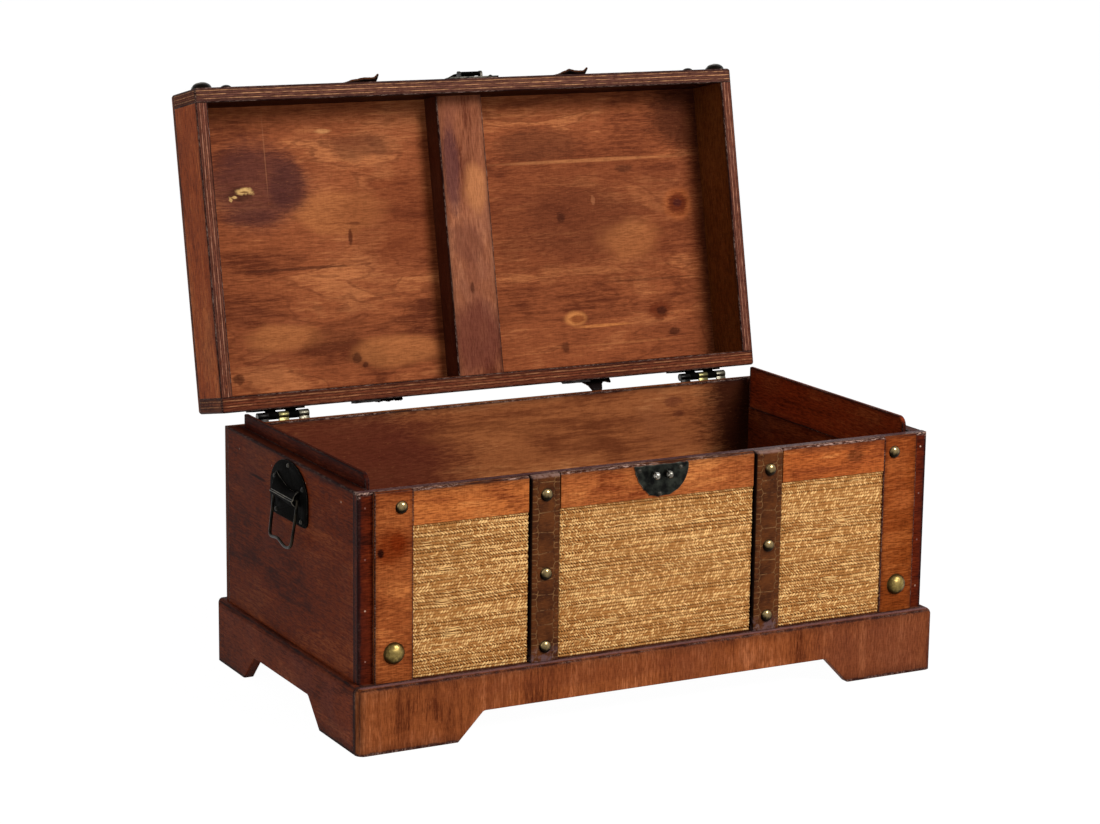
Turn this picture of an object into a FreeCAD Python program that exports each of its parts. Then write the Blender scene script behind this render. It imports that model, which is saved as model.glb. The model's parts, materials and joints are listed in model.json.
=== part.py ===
import FreeCAD, Part
import math
import os

# A sea chest: a low box of stained boards on a bracket-foot plinth, its front faced with
# stiles, a top rail, two leather straps and three panels of twisted seagrass.  The lid stands
# open on two butt hinges and carries a hasp; a drop handle hangs on each end.
# Millimetres.  +X runs to the right of the front, +Y to the back, +Z up.  The floor is z = 0.
# The lid is drawn closed and then swung open about its hinge pins.

# ---------------------------------------------------------------- carcass
body_width = 785.0
body_depth = 403.4
carcass_height = 226.5
front_board_thickness = 13.0
back_board_thickness = 12.0
side_board_thickness = 18.0
bottom_thickness = 9.0

# ---------------------------------------------------------------- boards that locate the lid
guide_thickness = 6.0
guide_height = 57.0
guide_rise = 17.0
guide_corner_radius = 12.0
guide_front_clearance = 6.0
guide_back_clearance = 2.0
guide_side_clearance = 2.0
guide_edge_ease = 1.5

# ---------------------------------------------------------------- edges worn round
edge_ease = 2.0

# ---------------------------------------------------------------- plinth
plinth_height = 80.5
plinth_thickness = 12.0
plinth_side_overhang = 8.1
plinth_front_overhang = 18.7
plinth_back_overhang = 13.3
plinth_edge_radius = 8.0
plinth_corner_radius = 10.0
arch_height = 34.0
arch_slant = 33.0
arch_top_radius = 6.0
arch_edge_ease = 1.5
front_foot_width = 128.6
side_front_foot_depth = 113.0
side_back_foot_depth = 91.0
cleat_width = 30.0
cleat_height = 24.0
corner_block_size = 28.0
corner_block_floor_gap = 4.0

# ---------------------------------------------------------------- facing of the front
facing_thickness = 5.6
stile_width = 49.0
stile_inset = 18.5
top_rail_height = 43.0
rim_round = 3.5
facing_edge_ease = 0.8
front_strap_width = 37.0
front_strap_side_gap = 2.5
front_strap_edge_ease = 2.0
strap_end_setback = 238.0
front_strap_thickness = 10.0
seagrass_thickness = 4.8

# ---------------------------------------------------------------- nails
small_nail_diameter = 16.0
small_nail_height = 5.0
large_nail_diameter = 27.0
large_nail_height = 8.5
nail_shank_diameter = 3.0
nail_grip = 8.0
strap_top_nail_drop = 23.5
strap_middle_nail_drop = 119.0
strap_low_nail_rise = 18.5
stile_small_nail_offset = 9.5
stile_small_nail_rim_drop = 20.0
stile_large_nail_rise = 34.5
plate_nail_diameter = 6.0
plate_nail_height = 2.0
plate_nail_grip = 9.0
pin_diameter = 2.4
pin_grip = 13.0
pin_edge_setback = 9.0
pin_top_setback = 18.0
pin_bottom_setback = 27.0
carcass_pins_per_corner = 4
guide_pins_per_board = 4
guide_pin_end_setback = 27.0

# ---------------------------------------------------------------- lid
lid_gap = 0.5
lid_height = 87.0
lid_top_thickness = 12.0
lid_front_rail_thickness = 19.0
lid_back_rail_thickness = 20.0
lid_edge_radius = 6.0
lid_corner_radius = 4.0
batten_width = 67.0
batten_thickness = 36.0
batten_offset = -7.0
lid_open_angle = 101.7

lid_strap_width = 42.0
lid_strap_thickness = 3.5
lid_strap_drop = 64.5
strap_tab_length = 17.0
strap_front_tab_angle = 38.0
strap_back_tab_angle = 50.0
lid_strap_nail_setback = 40.0
lid_large_nail_edge = 15.5
lid_large_nail_rise = 15.5
lid_small_nail_edge = 52.5
lid_small_nail_rise = 26.0

# ---------------------------------------------------------------- butt hinges
hinge_end_setback = 82.5
hinge_length = 70.0
leaf_height = 27.0
leaf_thickness = 2.2
pin_offset = 8.5
pin_rise = 4.5
barrel_radius = 5.0
hinge_pin_radius = 2.5
hinge_neck_width = 4.0
knuckles = 5
knuckle_gap = 0.3
pin_clearance = 0.06
screw_head_radius = 3.2
screw_shank_radius = 1.6
screw_head_depth = 1.6
screw_length = 11.0
screw_spacing = 23.0

# ---------------------------------------------------------------- lock plate, staple and hasp
iron_plate_thickness = 2.0
lock_plate_width = 75.0
lock_plate_height = 41.0
lock_plate_rim_gap = 2.0
lock_plate_shoulder = 9.0
lug_spacing = 18.0
lug_thickness = 5.0
lug_height = 9.0
lug_reach = 12.0
lug_drop = 14.0
lug_eye_radius = 2.6
lug_tang = 12.0
lock_nail_side_margin = 9.0
lock_nail_top_margin = 6.0
lock_nail_bottom_margin = 5.0
hasp_plate_width = 72.0
hasp_plate_height = 40.0
hasp_plate_shoulder = 9.0
hasp_plate_rim_gap = 2.0
hasp_nail_side_margin = 9.0
hasp_nail_rim_margin = 6.0
ear_spacing = 31.4
ear_thickness = 3.2
ear_radius = 3.7
hasp_pin_radius = 1.6
hasp_pin_height = 6.8
hasp_pin_rise = 15.0
hasp_barrel_radius = 2.9
hasp_side_gap = 0.5
tongue_thickness = 1.8
tongue_width = 34.0
tongue_shoulder = 9.0
tongue_toe = 12.0
tongue_corner_radius = 6.0
window_clearance = 0.8
tongue_fold_angle = 187.0

# ---------------------------------------------------------------- drop handles
handle_plate_width = 112.0
handle_plate_straight = 33.0
handle_plate_arch = 40.0
handle_plate_rim_gap = 2.0
handle_plate_offset = -6.0
handle_plate_corner_radius = 12.0
handle_nail_margin = 6.0
handle_upper_nail_half_spacing = 42.0
handle_upper_nail_drop = 26.7
handle_lower_nail_half_spacing = 37.3
handle_axis_drop = 43.0
bail_wire_diameter = 5.5
bail_width = 70.0
bail_drop = 62.0
bail_top_radius = 5.0
bail_bottom_radius = 8.0
bail_rest_angle = 8.0
bail_wire_gap = 0.35
clip_length = 54.0
clip_wall = 1.5
clip_flange = 6.4
rivet_diameter = 4.4
rivet_height = 1.6
rivet_setback = 4.0

# ---------------------------------------------------------------- places worked out from the sizes
half_width = body_width / 2
front = -body_depth / 2
back = body_depth / 2
rim = plinth_height + carcass_height
facing_face = front - facing_thickness
side_inside = half_width - side_board_thickness
front_inside = front + front_board_thickness
back_inside = back - back_board_thickness
lid_bottom = rim + lid_gap
lid_top = lid_bottom + lid_height
lid_front_inside = facing_face + lid_front_rail_thickness
lid_back_inside = back - lid_back_rail_thickness
lid_side_inside = side_inside + guide_side_clearance
lid_under = lid_top - lid_top_thickness
pin_y = back + pin_offset
pin_z = rim + pin_rise
strap_x = half_width - strap_end_setback
hinge_x = half_width - hinge_end_setback
stile_outer = half_width - stile_inset
stile_inner = stile_outer - stile_width
stile_middle = (stile_outer + stile_inner) / 2
base_half = half_width + plinth_side_overhang
base_front = front - plinth_front_overhang
base_back = back + plinth_back_overhang
plate_face = facing_face - iron_plate_thickness
lug_z = rim - lug_drop
hasp_pin_y = facing_face - hasp_pin_height
hasp_pin_z = lid_bottom + hasp_pin_rise
bail_reach = iron_plate_thickness + bail_wire_gap + bail_wire_diameter / 2
bail_axis_x = half_width + bail_reach
bail_axis_z = rim - handle_axis_drop

x_axis = FreeCAD.Vector(1, 0, 0)
y_axis = FreeCAD.Vector(0, 1, 0)
z_axis = FreeCAD.Vector(0, 0, 1)
slack = 0.01

chest = {}
lid = {}
moving = {}


# ---------------------------------------------------------------- shop tools
def vector(x, y, z):
    return FreeCAD.Vector(x, y, z)


def board(x0, x1, y0, y1, z0, z1):
    return Part.makeBox(x1 - x0, y1 - y0, z1 - z0, vector(x0, y0, z0))


def middle(edge):
    return edge.BoundBox.Center


def runs(edge, axis):
    if not isinstance(edge.Curve, Part.Line):
        return False
    return abs(abs(edge.tangentAt(edge.FirstParameter).dot(axis)) - 1) < 1e-6


def round_edges(shape, radius, wanted):
    return shape.makeFillet(radius, [edge for edge in shape.Edges if wanted(edge)])


def solid_from(points, direction):
    return Part.Face(Part.makePolygon(points + [points[0]])).extrude(direction)


def profile_along_x(points, x0, x1):
    return solid_from([vector(x0, y, z) for y, z in points], vector(x1 - x0, 0, 0))


def rod(radius, start, direction, length):
    return Part.makeCylinder(radius, length, start, direction)


def aim(shape, place, direction):
    turn = FreeCAD.Rotation(z_axis, direction)
    shape.Placement = FreeCAD.Placement(place, turn)
    return shape


def turned(points):
    face = Part.Face(Part.makePolygon([vector(r, 0, z) for r, z in points + [points[0]]]))
    return face.revolve(vector(0, 0, 0), z_axis, 360)


def dome_nail(diameter, height, grip):
    half = diameter / 2
    ball = (half * half + height * height) / (2 * height)
    rise = ball - height
    halfway = math.asin(half / ball) / 2
    rim_point = vector(half, 0, 0)
    crown = vector(0, 0, height)
    bulge = vector(ball * math.sin(halfway), 0, ball * math.cos(halfway) - rise)
    shank = nail_shank_diameter / 2
    outline = Part.makePolygon([crown, vector(0, 0, -grip), vector(shank, 0, -grip),
                                vector(shank, 0, 0), rim_point])
    section = Part.Face(Part.Wire(outline.Edges + [Part.Arc(rim_point, bulge, crown).toShape()]))
    return section.revolve(vector(0, 0, 0), z_axis, 360)


def nail_group(places, direction, diameter, height, grip):
    return [aim(dome_nail(diameter, height, grip), place, direction) for place in places]


def drive(pieces, names, fasteners):
    for name in names:
        for fastener in fasteners:
            if pieces[name].BoundBox.intersect(fastener.BoundBox):
                pieces[name] = pieces[name].cut(fastener)


def mirrored(shape):
    return shape.mirror(vector(0, 0, 0), x_axis)


def evenly(first, last, count):
    step = (last - first) / (count - 1)
    return [first + step * index for index in range(count)]


# ---------------------------------------------------------------- carcass of five boards
front_board = board(-half_width, half_width, front, front_inside, plinth_height, rim)
chest["front_board"] = round_edges(
    front_board, edge_ease,
    lambda e: runs(e, x_axis) and middle(e).z > rim - slack and middle(e).y > front + slack
    or runs(e, z_axis) and middle(e).y < front + slack)
back_board = board(-half_width, half_width, back_inside, back, plinth_height, rim)
chest["back_board"] = round_edges(
    back_board, edge_ease,
    lambda e: runs(e, x_axis) and middle(e).z > rim - slack
    or runs(e, z_axis) and middle(e).y > back - slack)
side = board(-half_width, -side_inside, front_inside, back_inside, plinth_height, rim)
side = round_edges(side, edge_ease,
                   lambda e: runs(e, y_axis) and middle(e).z > rim - slack
                   and middle(e).x < -half_width + slack)
chest["side_board_left"] = side
chest["side_board_right"] = mirrored(side)
chest["bottom_panel"] = board(-side_inside, side_inside, front_inside, back_inside,
                              plinth_height, plinth_height + bottom_thickness)

# The two guide boards stand above the rim inside the ends and locate the lid.
guide_top = rim + guide_rise
guide_bottom = guide_top - guide_height
guide_front = lid_front_inside + guide_front_clearance
guide_back = lid_back_inside - guide_back_clearance
guide = board(-side_inside, -side_inside + guide_thickness, guide_front, guide_back,
              guide_bottom, guide_top)
guide = round_edges(guide, guide_corner_radius,
                    lambda e: runs(e, x_axis) and middle(e).y < guide_front + slack
                    and middle(e).z > guide_top - slack)
guide = round_edges(guide, guide_edge_ease,
                    lambda e: runs(e, y_axis) and middle(e).z > guide_top - slack)
chest["guide_board_left"] = guide
chest["guide_board_right"] = mirrored(guide)

# ---------------------------------------------------------------- plinth with bracket feet
side_arch_front = base_front + side_front_foot_depth
side_arch_back = base_back - side_back_foot_depth
front_arch_half = base_half - front_foot_width


def arch(low, high, thickness):
    """Opening between two feet, drawn along X from low to high, pushed through along +Y."""
    points = [vector(low, 0, -1), vector(low, 0, 0),
              vector(low + arch_slant, 0, arch_height),
              vector(high - arch_slant, 0, arch_height),
              vector(high, 0, 0), vector(high, 0, -1)]
    opening = solid_from(points, vector(0, thickness, 0))
    return round_edges(opening, arch_top_radius,
                       lambda e: runs(e, y_axis) and middle(e).z > arch_height - slack)


front_plinth = board(-base_half, base_half, base_front, base_front + plinth_thickness,
                     0, plinth_height)
front_plinth = round_edges(front_plinth, plinth_corner_radius,
                           lambda e: runs(e, z_axis) and middle(e).y < base_front + slack)
front_plinth = round_edges(front_plinth, plinth_edge_radius,
                           lambda e: runs(e, x_axis) and middle(e).z > plinth_height - slack
                           and middle(e).y < base_front + slack)
front_opening = arch(-front_arch_half, front_arch_half, plinth_thickness)
front_opening.translate(vector(0, base_front, 0))
front_plinth = front_plinth.cut(front_opening)
chest["plinth_front"] = round_edges(
    front_plinth, arch_edge_ease,
    lambda e: middle(e).y < base_front + slack and slack < middle(e).z < arch_height + slack
    and abs(middle(e).x) < front_arch_half)

base_inside = base_half - plinth_thickness
side_start = base_front + plinth_thickness
side_plinth = board(-base_half, -base_inside, side_start, base_back, 0, plinth_height)
side_plinth = round_edges(side_plinth, plinth_edge_radius,
                          lambda e: middle(e).x < -base_half + slack
                          and (middle(e).z > plinth_height - slack
                               or middle(e).y > base_back - slack))
side_opening = arch(side_arch_front, side_arch_back, plinth_thickness)
side_opening.rotate(vector(0, 0, 0), z_axis, 90)
side_opening.translate(vector(-base_inside, 0, 0))
side_plinth = side_plinth.cut(side_opening)
side_plinth = round_edges(
    side_plinth, arch_edge_ease,
    lambda e: middle(e).x < -base_half + slack and slack < middle(e).z < arch_height + slack
    and side_arch_front < middle(e).y < side_arch_back)
chest["plinth_left"] = side_plinth
chest["plinth_right"] = mirrored(side_plinth)

back_plinth_face = base_back - plinth_thickness
back_plinth = board(-base_inside, base_inside, back_plinth_face, base_back, 0, plinth_height)
back_opening = arch(-front_arch_half, front_arch_half, plinth_thickness)
back_opening.translate(vector(0, back_plinth_face, 0))
chest["plinth_back"] = back_plinth.cut(back_opening)

# Cleats inside the plinth carry the carcass; a glue block stiffens each corner below them.
cleat_bottom = plinth_height - cleat_height
chest["plinth_cleats_long"] = Part.makeCompound([
    board(-base_inside, base_inside, side_start, side_start + cleat_width,
          cleat_bottom, plinth_height),
    board(-base_inside, base_inside, back_plinth_face - cleat_width, back_plinth_face,
          cleat_bottom, plinth_height)])
short_cleat = board(-base_inside, -base_inside + cleat_width, side_start + cleat_width,
                    back_plinth_face - cleat_width, cleat_bottom, plinth_height)
chest["plinth_cleats_short"] = Part.makeCompound([short_cleat, mirrored(short_cleat)])
blocks = []
for block_y in (side_start, back_plinth_face - corner_block_size):
    block = board(-base_inside, -base_inside + corner_block_size, block_y,
                  block_y + corner_block_size, corner_block_floor_gap, cleat_bottom)
    blocks += [block, mirrored(block)]
chest["plinth_corner_blocks"] = Part.makeCompound(blocks)

# ---------------------------------------------------------------- facing of the front
strap_left_edge = strap_x - front_strap_width / 2
strap_right_edge = strap_x + front_strap_width / 2
rail_near_strap = strap_left_edge - front_strap_side_gap
rail_past_strap = strap_right_edge + front_strap_side_gap
rail_bottom = rim - top_rail_height


def facing(x0, x1, z0, z1):
    piece = board(x0, x1, facing_face, front, z0, z1)
    piece = round_edges(piece, rim_round,
                        lambda e: runs(e, x_axis) and middle(e).y < facing_face + slack
                        and middle(e).z > rim - slack)
    return round_edges(piece, facing_edge_ease,
                       lambda e: runs(e, z_axis) and middle(e).y < facing_face + slack)


chest["front_stile_left"] = facing(-stile_outer, -stile_inner, plinth_height, rim)
chest["front_stile_right"] = facing(stile_inner, stile_outer, plinth_height, rim)
chest["front_rail_left"] = facing(-stile_inner, -rail_past_strap, rail_bottom, rim)
chest["front_rail_centre"] = facing(-rail_near_strap, rail_near_strap, rail_bottom, rim)
chest["front_rail_right"] = facing(rail_past_strap, stile_inner, rail_bottom, rim)

seagrass_face = front - seagrass_thickness
panel_edges = {"left": (-stile_inner, -rail_past_strap),
               "centre": (-rail_near_strap, rail_near_strap),
               "right": (rail_past_strap, stile_inner)}
for name, (x0, x1) in panel_edges.items():
    chest["seagrass_panel_" + name] = board(x0, x1, seagrass_face, front,
                                            plinth_height, rail_bottom)

strap_face = front - front_strap_thickness
strap = board(strap_left_edge, strap_right_edge, strap_face, front, plinth_height, rim)
strap = round_edges(strap, rim_round,
                    lambda e: runs(e, x_axis) and middle(e).y < strap_face + slack
                    and middle(e).z > rim - slack)
strap = round_edges(strap, front_strap_edge_ease,
                    lambda e: runs(e, z_axis) and middle(e).y < strap_face + slack)
chest["front_strap_right"] = strap
chest["front_strap_left"] = mirrored(strap)

# Domed nails hold the straps and mark the stiles.
outward = vector(0, -1, 0)
strap_places = [vector(side_sign * strap_x, strap_face, z)
                for side_sign in (-1, 1)
                for z in (rim - strap_top_nail_drop, rim - strap_middle_nail_drop,
                          plinth_height + strap_low_nail_rise)]
strap_nails = nail_group(strap_places, outward, small_nail_diameter, small_nail_height,
                         front_strap_thickness + nail_grip)
stile_places = [vector(side_sign * (stile_middle - stile_small_nail_offset), facing_face,
                       rim - stile_small_nail_rim_drop) for side_sign in (-1, 1)]
stile_nails = nail_group(stile_places, outward, small_nail_diameter, small_nail_height,
                         facing_thickness + nail_grip)
large_places = [vector(side_sign * stile_middle, facing_face,
                       plinth_height + stile_large_nail_rise) for side_sign in (-1, 1)]
large_nails = nail_group(large_places, outward, large_nail_diameter, large_nail_height,
                         facing_thickness + nail_grip)
front_pieces = ("front_board", "front_stile_left", "front_stile_right",
                "front_strap_left", "front_strap_right")
drive(chest, front_pieces, strap_nails + stile_nails + large_nails)
chest["front_nails_small"] = Part.makeCompound(strap_nails + stile_nails)
chest["front_nails_large"] = Part.makeCompound(large_nails)

# Flush panel pins hold the boards at the corners and the guide boards to the ends.
pins = []
pin_heights = evenly(plinth_height + pin_bottom_setback, rim - pin_top_setback,
                     carcass_pins_per_corner)
for pin_height in pin_heights:
    for pin_x in (-half_width + pin_edge_setback, half_width - pin_edge_setback):
        pins.append(rod(pin_diameter / 2, vector(pin_x, front, pin_height), y_axis,
                        front_board_thickness + pin_grip))
        pins.append(rod(pin_diameter / 2, vector(pin_x, back, pin_height), -y_axis,
                        back_board_thickness + pin_grip))
guide_pin_z = (guide_bottom + rim) / 2
for guide_pin_y in evenly(guide_front + guide_pin_end_setback, guide_back - guide_pin_end_setback,
                          guide_pins_per_board):
    guide_pin = rod(pin_diameter / 2, vector(-half_width, guide_pin_y, guide_pin_z), x_axis,
                    side_board_thickness + guide_thickness / 2)
    pins += [guide_pin, mirrored(guide_pin)]
drive(chest, ("front_board", "back_board", "side_board_left", "side_board_right",
              "guide_board_left", "guide_board_right"), pins)
chest["panel_pins"] = Part.makeCompound(pins)


# ---------------------------------------------------------------- lock plate and its staple
def oval(across, down, thickness):
    """Oval plate about the origin with half axes across along X and down along Y."""
    wire = Part.Wire(Part.Ellipse(vector(0, 0, 0), max(across, down),
                                  min(across, down)).toShape())
    if down > across:
        wire.rotate(vector(0, 0, 0), z_axis, 90)
    return Part.Face(wire).extrude(vector(0, 0, thickness))


def shield(width, height, shoulder, thickness):
    """Iron plate with a straight top edge at z = 0 and a half-oval end below its shoulder."""
    half = width / 2
    disc = oval(half, height - shoulder, thickness)
    disc.rotate(vector(0, 0, 0), x_axis, -90)
    disc.translate(vector(0, 0, -shoulder))
    lower = disc.common(board(-half, half, 0, thickness, -height, -shoulder))
    return lower.fuse(board(-half, half, 0, thickness, -shoulder, 0)).removeSplitter()


lock_plate = shield(lock_plate_width, lock_plate_height, lock_plate_shoulder,
                    iron_plate_thickness)
lock_plate.translate(vector(0, plate_face, rim - lock_plate_rim_gap))
chest["lock_plate"] = lock_plate

eye_y = plate_face - lug_reach + lug_height / 2
lugs = []
for lug_x in (-lug_spacing / 2, lug_spacing / 2):
    lug_side = lug_x - lug_thickness / 2
    shank = board(lug_side, lug_side + lug_thickness, eye_y, facing_face + lug_tang,
                  lug_z - lug_height / 2, lug_z + lug_height / 2)
    nose = rod(lug_height / 2, vector(lug_side, eye_y, lug_z), x_axis, lug_thickness)
    eye = rod(lug_eye_radius, vector(lug_side, eye_y, lug_z), x_axis, lug_thickness)
    lugs.append(shank.fuse(nose).cut(eye).removeSplitter())
drive(chest, ("lock_plate", "front_rail_centre", "front_board"), lugs)
chest["lock_staple"] = Part.makeCompound(lugs)

lock_nail_x = lock_plate_width / 2 - lock_nail_side_margin
lock_nail_z = rim - lock_plate_rim_gap - lock_nail_top_margin
low_lock_nail_z = rim - lock_plate_rim_gap - lock_plate_height + lock_nail_bottom_margin
lock_nail_places = [vector(-lock_nail_x, plate_face, lock_nail_z),
                    vector(lock_nail_x, plate_face, lock_nail_z),
                    vector(0, plate_face, low_lock_nail_z)]
plate_nails = nail_group(lock_nail_places, outward, plate_nail_diameter, plate_nail_height,
                         iron_plate_thickness + plate_nail_grip)
drive(chest, ("lock_plate", "front_rail_centre", "front_board"), plate_nails)

# ---------------------------------------------------------------- drop handles on the ends
plate_x = half_width + iron_plate_thickness
plate_top = rim - handle_plate_rim_gap
plate_corner = plate_top - handle_plate_arch
plate_bottom = plate_corner - handle_plate_straight
half_plate = handle_plate_width / 2
upper = oval(half_plate, handle_plate_arch, iron_plate_thickness).common(
    board(-half_plate, half_plate, 0, handle_plate_arch, 0, iron_plate_thickness))
lower = board(-half_plate, half_plate, -handle_plate_straight, 0, 0, iron_plate_thickness)
handle_plate = upper.fuse(lower).removeSplitter()
handle_plate = round_edges(handle_plate, handle_plate_corner_radius,
                           lambda e: runs(e, z_axis) and middle(e).y < -handle_plate_straight
                           + slack)
turn_to_end = FreeCAD.Rotation(-y_axis, z_axis, -x_axis, "XZY")
handle_plate.Placement = FreeCAD.Placement(
    vector(-half_width, handle_plate_offset, plate_corner), turn_to_end)

clip_inner = bail_wire_diameter / 2 + bail_wire_gap
clip_outer = clip_inner + clip_wall
clip_start = vector(-bail_axis_x, handle_plate_offset - clip_length / 2, bail_axis_z)
clip_end_y = clip_start.y + clip_length
barrel = rod(clip_outer, clip_start, y_axis, clip_length)
cheeks = board(-bail_axis_x, -plate_x, clip_start.y, clip_end_y,
               bail_axis_z - clip_outer, bail_axis_z + clip_outer)
flanges = board(-plate_x - clip_wall, -plate_x, clip_start.y, clip_end_y,
                bail_axis_z - clip_outer - clip_flange, bail_axis_z + clip_outer + clip_flange)
hollow = rod(clip_inner, clip_start, y_axis, clip_length).fuse(
    board(-bail_axis_x, -plate_x, clip_start.y, clip_end_y,
          bail_axis_z - clip_inner, bail_axis_z + clip_inner))
clip = barrel.common(board(-bail_axis_x - clip_outer, -plate_x, clip_start.y, clip_end_y,
                           bail_axis_z - clip_outer, bail_axis_z + clip_outer))
clip = clip.fuse([cheeks, flanges]).cut(hollow).removeSplitter()

rivets = []
rivet_z_reach = clip_outer + clip_flange / 2
for rivet_y in (clip_start.y + rivet_setback, clip_end_y - rivet_setback):
    for rivet_z in (bail_axis_z - rivet_z_reach, bail_axis_z + rivet_z_reach):
        rivets += nail_group([vector(-plate_x - clip_wall, rivet_y, rivet_z)], -x_axis,
                             rivet_diameter, rivet_height,
                             clip_wall + iron_plate_thickness + nail_grip)
handle_nail_places = [vector(-plate_x, handle_plate_offset + y, z) for y, z in (
    (0, plate_top - handle_nail_margin),
    (-handle_upper_nail_half_spacing, plate_top - handle_upper_nail_drop),
    (handle_upper_nail_half_spacing, plate_top - handle_upper_nail_drop),
    (-handle_lower_nail_half_spacing, plate_bottom + handle_nail_margin),
    (handle_lower_nail_half_spacing, plate_bottom + handle_nail_margin))]
handle_nails = nail_group(handle_nail_places, -x_axis, plate_nail_diameter, plate_nail_height,
                          iron_plate_thickness + plate_nail_grip)

chest["handle_plate_left"] = handle_plate
chest["handle_clip_left"] = clip
drive(chest, ("handle_plate_left", "handle_clip_left", "side_board_left"), rivets + handle_nails)
for name in ("handle_plate", "handle_clip"):
    chest[name + "_right"] = mirrored(chest[name + "_left"])
drive(chest, ("side_board_right",), [mirrored(nail) for nail in rivets + handle_nails])
chest["handle_rivets"] = Part.makeCompound(rivets + [mirrored(rivet) for rivet in rivets])
chest["plate_nails"] = Part.makeCompound(plate_nails + handle_nails
                                         + [mirrored(nail) for nail in handle_nails])

# The bail is one ring of wire; its top bar turns in the clip and it leans out a little at rest.
half_bail = bail_width / 2


def corner_arc(centre_y, centre_z, radius, start):
    angles = [math.radians(start + step) for step in (0, 45, 90)]
    return Part.Arc(*[vector(0, centre_y + radius * math.cos(a), centre_z + radius * math.sin(a))
                      for a in angles]).toShape()


top_in = half_bail - bail_top_radius
low_in = half_bail - bail_bottom_radius
corners = [corner_arc(top_in, -bail_top_radius, bail_top_radius, 0),
           corner_arc(-top_in, -bail_top_radius, bail_top_radius, 90),
           corner_arc(-low_in, -bail_drop + bail_bottom_radius, bail_bottom_radius, 180),
           corner_arc(low_in, -bail_drop + bail_bottom_radius, bail_bottom_radius, 270)]
path_edges = []
for index, corner in enumerate(corners):
    following = corners[(index + 1) % len(corners)]
    path_edges += [corner, Part.makeLine(corner.valueAt(corner.LastParameter),
                                         following.valueAt(following.FirstParameter))]
bail_path = Part.Wire(path_edges)
wire_start = corners[0].valueAt(corners[0].FirstParameter)
wire_section = Part.Wire(Part.makeCircle(bail_wire_diameter / 2, wire_start, z_axis))
bail = bail_path.makePipeShell([wire_section], True, False)
bail.rotate(vector(0, 0, 0), y_axis, bail_rest_angle)
bail.translate(vector(-bail_axis_x, handle_plate_offset, bail_axis_z))
moving["bail_left"] = bail
moving["bail_right"] = mirrored(bail)

# ---------------------------------------------------------------- lid frame, top and batten
def lid_edge(edge):
    return runs(edge, x_axis) and middle(edge).z < lid_bottom + slack


def lid_corner(edge):
    return runs(edge, z_axis) and not facing_face + slack < middle(edge).y < back - slack


front_rail = board(-half_width, half_width, facing_face, lid_front_inside, lid_bottom, lid_under)
front_rail = round_edges(front_rail, lid_corner_radius, lid_corner)
lid["lid_front_rail"] = round_edges(front_rail, edge_ease, lid_edge)
back_rail = board(-half_width, half_width, lid_back_inside, back, lid_bottom, lid_under)
back_rail = round_edges(back_rail, lid_corner_radius, lid_corner)
lid["lid_back_rail"] = round_edges(back_rail, edge_ease, lid_edge)
lid_side = board(-half_width, -lid_side_inside, lid_front_inside, lid_back_inside,
                 lid_bottom, lid_under)
lid_side = round_edges(lid_side, edge_ease,
                       lambda e: runs(e, y_axis) and middle(e).z < lid_bottom + slack)
lid["lid_side_rail_left"] = lid_side
lid["lid_side_rail_right"] = mirrored(lid_side)
lid_panel = board(-half_width, half_width, facing_face, back, lid_under, lid_top)
lid_panel = round_edges(lid_panel, lid_corner_radius, lid_corner)
lid_panel = round_edges(lid_panel, lid_edge_radius,
                        lambda e: middle(e).z > lid_top - slack)
lid["lid_top_panel"] = lid_panel
batten = board(batten_offset - batten_width / 2, batten_offset + batten_width / 2,
               lid_front_inside, lid_back_inside, lid_under - batten_thickness, lid_under)
lid["lid_batten"] = round_edges(batten, edge_ease,
                                lambda e: runs(e, y_axis)
                                and middle(e).z < lid_under - batten_thickness + slack)

# ---------------------------------------------------------------- leather straps over the lid
strap_end = lid_top - lid_strap_drop
strap_front_face = facing_face - lid_strap_thickness
strap_back_face = back + lid_strap_thickness
strap_edges = (strap_x - lid_strap_width / 2, strap_x + lid_strap_width / 2)
outside = board(*strap_edges, strap_front_face, strap_back_face, strap_end,
                lid_top + lid_strap_thickness)
outside = round_edges(outside, lid_edge_radius + lid_strap_thickness,
                      lambda e: runs(e, x_axis) and middle(e).z > lid_top)
inside = board(*strap_edges, facing_face, back, strap_end, lid_top)
inside = round_edges(inside, lid_edge_radius,
                     lambda e: runs(e, x_axis) and middle(e).z > lid_top - slack)


def curled_tab(root_y, direction, angle):
    """Free end of a strap that stands off the lid, drawn from its root on the lid's face."""
    lean = math.radians(angle)
    along_y, along_z = direction * math.sin(lean), -math.cos(lean)
    out_y, out_z = direction * math.cos(lean), math.sin(lean)
    tip = (root_y + strap_tab_length * along_y, strap_end + strap_tab_length * along_z)
    outer_tip = (tip[0] + lid_strap_thickness * out_y, tip[1] + lid_strap_thickness * out_z)
    shoulder = (root_y + direction * lid_strap_thickness,
                strap_end + lid_strap_thickness * math.tan(lean / 2))
    return profile_along_x([(root_y, strap_end), tip, outer_tip, shoulder], *strap_edges)


front_tab = curled_tab(facing_face, -1, strap_front_tab_angle)
back_tab = curled_tab(back, 1, strap_back_tab_angle)
lid_strap = outside.cut(inside).fuse([front_tab, back_tab]).removeSplitter()
lid["lid_strap_right"] = lid_strap
lid["lid_strap_left"] = mirrored(lid_strap)

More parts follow.
